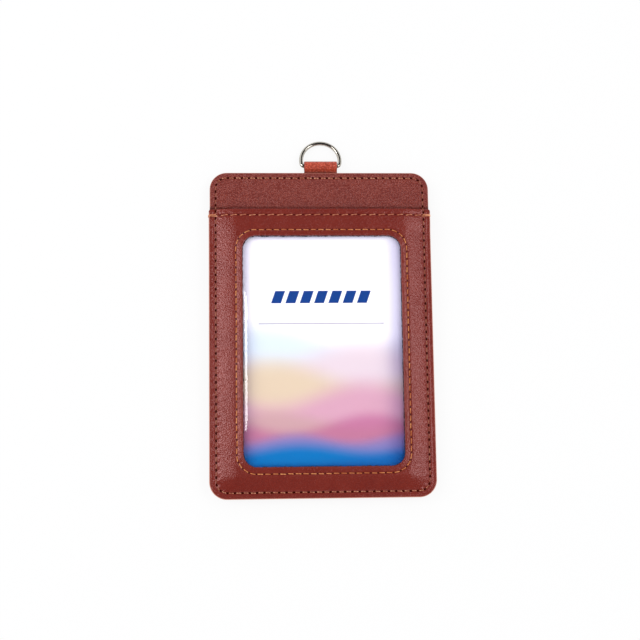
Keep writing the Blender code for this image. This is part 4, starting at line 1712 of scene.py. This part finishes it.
@dataclass
class Window:
    """The clear film in the window, and the insert that slides in the pocket behind it.

    The painted shade along the window's edges, a lilac-grey tint in the film, has a strength and a
    reach at the window's left, right, top and foot.
    """

    plan: Plan
    film_finish: FilmFinish
    print_finish: PrintFinish
    thickness: float = 0.3 * MM
    edge_clearance: float = 0.18 * MM
    shoulder: float = 4.6 * MM
    crown: float = 0.45 * MM
    taut_run: float = 2.1 * MM
    taut_crown: float = 0.42 * MM
    taut_middle: float = -10 * MM
    taut_half: float = 28 * MM
    side_blend: float = 10 * MM
    wave: float = 0.05 * MM
    wave_length: float = 34 * MM
    flange_step: float = 0.05 * MM
    foot_reach: float = 0.6 * MM
    spine_inset: float = 26.2 * MM
    spine_radius: float = 0.3 * MM
    # Strength and reach of the painted shade at each of the window's edges.
    edge_shades: tuple[tuple[float, float], ...] = (
        (0.42, 3.4 * MM),
        (0.68, 4.6 * MM),
        (0.5, 1.3 * MM),
        (0.5, 0.8 * MM),
    )
    edge_shade_wave: float = 0.2
    edge_shade_wave_length: float = 30 * MM
    card_softening: float = 0.07 * MM

    def build(self) -> None:
        """Makes the film and the insert."""
        hand_over(self.film(), self.film_finish.material(), Body.HOLDER, Slot.CLEAR_FILM, "window_film")
        hand_over(self.insert(), self.print_finish.material(), Body.CARD, Slot.PRINTED_PAPER, "insert_card")

    def dome(self, x: np.ndarray, y: np.ndarray) -> np.ndarray:
        """How far the film rises: a quarter wave in from its foot, and a slow wave over the open sheet.

        Along the lower half of its left side it is taut: a straight ramp, then a short bend.

        Args:
            x: places across.
            y: places along.

        Returns:
            The rise at each place.
        """
        foot = self.plan.window.grown(-self.edge_clearance)
        round_foot = replace(foot, low_radius=2 * self.shoulder, high_radius=2 * self.shoulder)
        inset = round_foot.inset(x, y)
        open_sheet = smooth_step(inset / (2 * self.shoulder))
        wave = self.wave * open_sheet * (waviness(x, y, self.wave_length, seed=5.2) - 0.4)
        run = self.shoulder * (1 + 0.9 * smooth_step(x / self.side_blend))
        bend = np.sin(math.pi / 2 * np.clip(inset / run, 0, 1))
        taut = np.clip(inset / self.taut_run, 0, 1)
        ramp = (taut - np.maximum(taut - 0.5, 0) ** 2) / 0.75
        at_middle = smooth_step((self.taut_half - np.abs(y - self.taut_middle)) / self.side_blend)
        at_left = smooth_step(-x / self.side_blend) * at_middle
        return self.crown * bend + at_left * (self.taut_crown * ramp - self.crown * bend) + wave

    def film(self) -> bpy.types.Object:
        """The film: a closed thin shell whose two faces follow the same dome.

        Returns:
            The piece.
        """
        plan = self.plan
        low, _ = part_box("window_film")
        spans = Spans(14, 90, 130)
        flange = plan.film
        foot = plan.window.grown(self.foot_reach)
        inner = plan.window.grown(-self.edge_clearance)
        spine = inner.grown(-self.spine_inset)
        spine = replace(spine, low_radius=self.spine_radius, high_radius=self.spine_radius)
        boxes = [flange, flange.grown(-self.flange_step), foot, inner]
        boxes += [inner.grown(-0.9 * self.shoulder * share) for share in np.linspace(0, 1, 14)[1:]]
        last = boxes[-1]
        boxes += [last.towards(spine, share) for share in np.linspace(0, 1, 17)[1:]]
        upper, lower = [], []
        for box in boxes:
            loop = box.loop(spans)
            height = low.z + self.dome(*loop.T)
            lower.append(raised(loop, height))
            upper.append(raised(loop, height + self.thickness))
        piece = capped_skin("window_film_sheet", np.stack(lower[::-1] + upper))
        x, y, _ = plan_points(piece)
        window = plan.window
        # Painted shade: the film's tint darkens towards the window's edges, most on the right, where the lip
        # shades the insert.
        insets = [x - window.left, window.right - x, window.top - y, y - window.bottom]
        edge_shades = [
            strength * bump_at(np.maximum(inset, 0), reach)
            for inset, (strength, reach) in zip(insets, self.edge_shades)
        ]
        uneven = 1 + self.edge_shade_wave * (waviness(x, y, self.edge_shade_wave_length, seed=1.3) - 1)
        write_attribute(piece, "pressed", np.max(edge_shades, 0) * uneven)
        return piece

    def insert(self) -> bpy.types.Object:
        """The insert: a thin card with softened edges.

        Returns:
            The piece.
        """
        low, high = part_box("insert_card")
        spans = Spans(8, 12, 18)
        outline = self.plan.card
        soft = self.card_softening
        side = outline.loop(spans)
        face = outline.grown(-soft).loop(spans)
        loops = [
            raised(face, low.z),
            raised(side, low.z + soft),
            raised(side, high.z - soft),
            raised(face, high.z),
        ]
        piece = capped_skin("insert_print", np.stack(loops))
        piece.data.set_sharp_from_angle(angle=math.radians(30))
        return piece


@dataclass
class Hanger:
    """The strap, one leather ply folded round the ring's bar, and the wire D-ring that swings in it."""

    plan: Plan
    leather: LeatherFinish
    nickel: NickelFinish
    wire: float = 1.3 * MM
    bow_radius: float = 6.6 * MM
    bow_offset: float = 2.05 * MM
    bend_radius: float = 1.1 * MM
    droop: float = math.radians(10.997)
    loop_radius: float = 1.65 * MM
    channel_radius: float = 0.95 * MM
    flare_radius: float = 0.5 * MM
    tail_half: float = 0.4 * MM
    seam_half: float = 0.012 * MM
    softening: float = 0.26 * MM
    parting: float = 1.1875 * MM
    channel_turn: float = math.radians(168)
    wave: float = 0.04 * MM
    wave_length: float = 6 * MM
    edge_width: float = 0.12 * MM
    end_gap: float = 0.08 * MM
    end_step: float = 0.0001 * MM
    end_share: float = 0.86

    def build(self) -> None:
        """Makes the strap and the ring."""
        joint = next(j for j in frame["joints"] if j["name"] == "ring_swing")
        axis = np.array(joint["pos_m"])
        hand_over(self.strap(axis), self.leather.material(), Body.HOLDER, Slot.STRAP_LEATHER, "strap_loop")
        hand_over(self.ring(axis), self.nickel.material(), Body.RING, Slot.RING_METAL, "d_ring")

    def strap(self, axis: np.ndarray) -> bpy.types.Object:
        """The strap: a rounded rectangle carried round the fold.

        Seen from the side, the outer line is a flat tail, a flare and a circle about the bar. The
        inner line lies against the strap's middle and then follows the channel. Each section spans
        from one line to the other.

        Args:
            axis: a point on the bar's middle line.

        Returns:
            The piece.
        """
        low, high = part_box("strap_loop")
        flare_level = self.tail_half + self.flare_radius
        reach = math.sqrt((self.loop_radius + self.flare_radius) ** 2 - flare_level**2)
        tangent = math.atan2(flare_level, -reach)
        tail = low.y - axis[1]
        flare = np.linspace(-math.pi / 2, tangent - math.pi, 7)[:-1]
        bend = np.linspace(tangent, 0, 22)
        outer = np.concatenate(
            [
                np.linspace((tail, self.tail_half), (-reach, self.tail_half), 26)[:-1],
                arc(-reach, flare_level, self.flare_radius, flare),
                arc(0, 0, self.loop_radius, bend),
            ]
        )
        inner = np.concatenate(
            [
                np.linspace((tail, self.seam_half), (-reach, self.seam_half), 26)[:-1],
                np.linspace((-reach, self.seam_half), (-self.parting, self.seam_half), len(flare)),
                arc(0, 0, self.channel_radius, np.linspace(self.channel_turn, 0, len(bend))),
            ]
        )
        mirror = np.array([1, -1])
        outer = np.concatenate([outer, outer[:-1][::-1] * mirror])
        inner = np.concatenate([inner, inner[:-1][::-1] * mirror])
        half = (high.x - low.x) / 2
        turn = np.linspace(0, math.pi / 2, 5)
        corner = np.stack([half - self.softening * (1 - np.sin(turn)), 0.35 + 0.65 * np.cos(turn)], 1)[::-1]
        wide = np.linspace(half - self.softening, -half + self.softening, 26)[1:-1]
        front = np.concatenate([corner, np.stack([wide, np.ones_like(wide)], 1), (corner * [-1, 1])[::-1]])
        section = np.concatenate([front, front[::-1] * [1, -1]])
        middle = (outer + inner) / 2
        across = (outer - inner) / 2
        ply = middle[:, None] + across[:, None] * section[None, :, 1:2]
        x = np.broadcast_to(axis[0] + section[None, :, 0:1], (len(ply), len(section), 1))
        uneven = self.wave * waviness(x, ply[..., :1], self.wave_length, seed=0.9)
        loops = np.concatenate([x, ply[..., :1] + axis[1], ply[..., 1:] + axis[2] + uneven], -1)
        piece = capped_skin("strap_leather", loops)
        side = np.broadcast_to(np.abs(section[None, :, 0]) > half - self.edge_width, loops.shape[:2])
        write_attribute(piece, "edge", side.astype(float).ravel())
        return piece

    def ring(self, axis: np.ndarray) -> bpy.types.Object:
        """The ring: round wire along a straight bar, two tight bends and a round bow, butted in the bar.

        Args:
            axis: a point on the bar's middle line.

        Returns:
            The piece.
        """
        big = self.bow_radius
        small = self.bend_radius
        centre = self.bow_offset
        bend_side = math.sqrt((big - small) ** 2 - (centre - small) ** 2)
        meeting = math.atan2(small - centre, bend_side)
        bar = np.linspace((self.end_gap, 0), (bend_side, 0), 14)[:-1]
        flat = np.concatenate(
            [
                bar[:1] - [self.end_step, 0],
                bar,
                arc(bend_side, small, small, np.linspace(-math.pi / 2, meeting, 18)[:-1]),
                arc(0, centre, big, np.linspace(meeting, math.pi - meeting, 110)),
                arc(-bend_side, small, small, np.linspace(math.pi - meeting, 1.5 * math.pi, 18)[1:]),
                bar[::-1] * [-1, 1],
                bar[:1] * [-1, 1] + [self.end_step, 0],
            ]
        )
        line = raised(flat, 0.0)
        radius = np.full(len(line), self.wire / 2)
        radius[[0, -1]] *= self.end_share
        loops = tube(line, np.array([0.0, 0.0, 1.0]), radius, 24)
        piece = capped_skin("ring_wire", loops)
        turn = Euler((-self.droop, 0, 0)).to_matrix().to_4x4()
        piece.data.transform(Matrix.Translation(Vector(axis)) @ turn)
        return piece


@dataclass(frozen=True)
class SoftBox:
    """A rectangular studio light: its middle, its width, its length along the holder, its brightness."""

    name: str
    middle: tuple[float, float, float]
    width: float
    length: float
    brightness: float

    def light(self) -> None:
        """Hangs the light, turned to the holder. A face of brightness L gives pi times its area times L."""
        lamp = bpy.data.lights.new(self.name, "AREA")
        lamp.shape = "RECTANGLE"
        lamp.size = self.width
        lamp.size_y = self.length
        lamp.energy = math.pi * self.width * self.length * self.brightness
        hung = bpy.data.objects.new(self.name, lamp)
        hung.location = self.middle
        hung.rotation_euler = (-Vector(self.middle)).to_track_quat("-Z", "X").to_euler()
        bpy.context.scene.collection.objects.link(hung)


@dataclass
class Studio:
    """A white paper sweep, soft boxes at both sides, a dark flag overhead, and the camera."""

    lens: float = 1315.47 / 640 * 36
    camera_place: tuple[float, float, float] = (-26.802 * MM, -60.078 * MM, 439.367 * MM)
    camera_turn: tuple[float, float, float] = (-8.4131, 3.4325, 0.3160)
    boxes: tuple[SoftBox, ...] = (
        SoftBox("left_soft_box", (-0.53, 0.115, 0.62), 0.48, 0.20, 7.5),
        SoftBox("right_soft_box", (0.43, 0.04, 0.68), 0.22, 0.44, 4.8),
    )
    ambient: float = 1.17
    floor_size: float = 6.0
    paper_share: float = 0.88

    def build(self) -> None:
        """Makes the floor, the lights, the flag, the world and the camera."""
        self.floor()
        for box in self.boxes:
            box.light()
        self.flag()
        self.world()
        self.camera()

    def plain_rays(self, add: AddNode) -> Socket:
        """A socket that is 1 for rays that show the background: from the camera, a gloss or a glass.

        Args:
            add: adds a node to a tree.

        Returns:
            The socket.
        """
        path = add("LightPath")
        seen = add("Math", {0: path["Is Camera Ray"], 1: path["Is Glossy Ray"]}, operation="MAXIMUM")[0]
        return add("Math", {0: seen, 1: path["Is Transmission Ray"]}, operation="MAXIMUM")[0]

    def floor(self) -> None:
        """White paper: for background rays most of it is plain white, and the rest keeps the shadow."""
        half = self.floor_size / 2
        corners = np.array([(-half, -half), (half, -half), (half, half), (-half, half)])
        sweep = make_piece("paper_sweep", raised(corners, -FLOOR_CLEARANCE), [[0, 1, 2, 3]])
        finish, add = new_material("white_paper_sweep")
        share = add("Math", {0: self.plain_rays(add), 1: self.paper_share}, operation="MULTIPLY")[0]
        paper = add("BsdfDiffuse", {"Color": (0.62, 0.62, 0.63, 1)})[0]
        white = add("Emission", {"Color": (1, 1, 1, 1), "Strength": 1.0})[0]
        mixed = add("MixShader", {0: share, 1: paper, 2: white})[0]
        behind = add("NewGeometry")["Backfacing"]
        clear = add("BsdfTransparent")[0]
        add("OutputMaterial", {"Surface": add("MixShader", {0: behind, 1: mixed, 2: clear})[0]})
        sweep.data.materials.append(finish)

    def flag(self) -> None:
        """A dark card over the holder that only reflections see, as the dark room behind the camera is.

        Its corner beyond the ring, on the left, is cut off and open, which gives the ring's left side
        its shine.
        """
        half = 0.95
        cut = 0.45
        foot, head = 0.5, 1.0
        wall = np.array([(-half, cut), (-half, -half), (half, -half), (half, half), (-cut, half)])
        panels = [[9, 8, 7, 6, 5]] + [[i, 5 + i, 6 + i, i + 1] for i in range(4)]
        card = make_piece("dark_flag", np.concatenate([raised(wall, foot), raised(wall, head)]), panels)
        finish, add = new_material("black_felt_flag")
        add("OutputMaterial", {"Surface": add("BsdfDiffuse", {"Color": (0.05, 0.05, 0.05, 1)})[0]})
        card.data.materials.append(finish)
        card.visible_camera = False
        card.visible_diffuse = False
        card.visible_shadow = False
        card.visible_transmission = False

    def world(self) -> None:
        """White for background rays, and a plain grey light from all round for the rest."""
        world = bpy.data.worlds.new("studio_world")
        world.use_nodes = True
        world.node_tree.nodes.clear()
        add = partial(add_node, world.node_tree)
        shown = {"Value": self.plain_rays(add), "To Min": self.ambient, "To Max": 1.0}
        level = add("MapRange", shown)["Result"]
        add("OutputWorld", {"Surface": add("Background", {"Color": (1, 1, 1, 1), "Strength": level})[0]})
        bpy.context.scene.world = world

    def camera(self) -> None:
        """The photograph's camera: its place and turn were fitted to the holder's and window's corners."""
        seen_by = bpy.data.cameras.new("camera")
        seen_by.lens = self.lens
        seen_by.sensor_width = 36
        seen_by.clip_start = 0.01
        seen_by.clip_end = 20
        camera = bpy.data.objects.new("camera", seen_by)
        to_camera = Matrix.Identity(3)
        for angle, axis in zip(self.camera_turn, "XYZ"):
            to_camera = Matrix.Rotation(math.radians(angle), 3, axis) @ to_camera
        camera.matrix_world = Matrix.Translation(self.camera_place) @ to_camera.transposed().to_4x4()
        bpy.context.scene.collection.objects.link(camera)
        bpy.context.scene.camera = camera


def main() -> None:
    """Builds the sub-assemblies in order."""
    logging.basicConfig(level=logging.INFO, format="%(message)s")
    bpy.context.scene.view_settings.view_transform = "Standard"
    plan = Plan.from_frame()
    front_seams = (plan.edge_seam, plan.window_seam, plan.mouth_seam)
    cover_leather = LeatherFinish(
        "embossed_cowhide_cover", "621a12", "72251a", "b98472", seams=front_seams
    )
    # The cover's cowhide made lighter, with more pebble contrast: painted sheen and sparkle on the band, with
    # the grain's tone.
    band_leather = LeatherFinish(
        "embossed_cowhide_band",
        "601a12",
        "8a4032",
        "b98472",
        roughness=0.32,
        blotches=0.1,
        grain_depth=0.12,
        seams=(plan.edge_seam,),
        # Painted shadow on the band just above the cover's mouth, where the hem's edge shades it.
        shaded_above=plan.cover.top,
    )
    back_leather = LeatherFinish(
        "embossed_cowhide_back", "5a150e", "6a2016", "b98472", seams=(plan.edge_seam,)
    )
    strap_leather = LeatherFinish(
        "grained_strap_leather",
        "86301f",
        "d05c44",
        "7a3024",
        grain=0.5,
        grain_depth=0.12,
        # Painted shadow at the strap's foot, where it goes under the holder's top edge.
        shaded_above=plan.ply.top + 0.25 * MM,
        shade_run=1.0 * MM,
    )
    lining = FibreFinish("dark_lining", "0c0c16", "23222f")
    board = FibreFinish("grey_board", "5a2f26", "6b3a2f")
    Cover(plan, cover_leather, lining).build()
    Plies(plan, band_leather, back_leather, board).build()
    Stitching(
        plan,
        ThreadFinish("edge_polyester_thread", "b87450", "f4b890", "6a2418"),
        ThreadFinish("window_polyester_thread", "b0622e", "eeaa6a", "8a3c22"),
        ThreadFinish("mouth_polyester_thread", "b46c4c", "dc9c76", "8e4a36"),
    ).build()
    waves = (
        Wave("c8d8e2", 4, 4.0, 70, 3.3, 12, 0.8),
        Wave("dcc4cc", 0, 4.0, 64, 0.2, 14, 0.8),
        Wave("d4bf98", -8, 4.5, 66, 3.2, 12, 0.75),
        Wave("cc8fb4", -15, 4.0, 61, 0.1, 12, 0.75),
        Wave("b8988c", -25, 2.5, 58, 3.4, 8, 0.55),
        Wave("b04a86", -27, 3.0, 55, 6.0, 7, 0.6),
        Wave("6a7cba", -32.5, 1.4, 38, 3.0, 6, 0.7),
        Wave("0070b4", -35.0, 1.3, 47, 2.6, 7),
        Wave("1c50a4", -40, 1.6, 71, 5.9, 6, 0.4),
    )
    rules = (
        Rule("0f3c84", 0, 12.0, 16.5, 2.1, 4.8),
        Rule("a9a3b4", 0, 3.0, 21, 0.18),
    )
    Window(
        plan,
        FilmFinish("clear_pvc_film", "fefeff", "dedcea"),
        PrintFinish("printed_card", "fdfbff", waves, rules),
    ).build()
    Hanger(plan, strap_leather, NickelFinish("nickel_plated_wire", "c9c4ba", "8e8a84")).build()
    Studio().build()


if __name__ == "__main__":
    main()
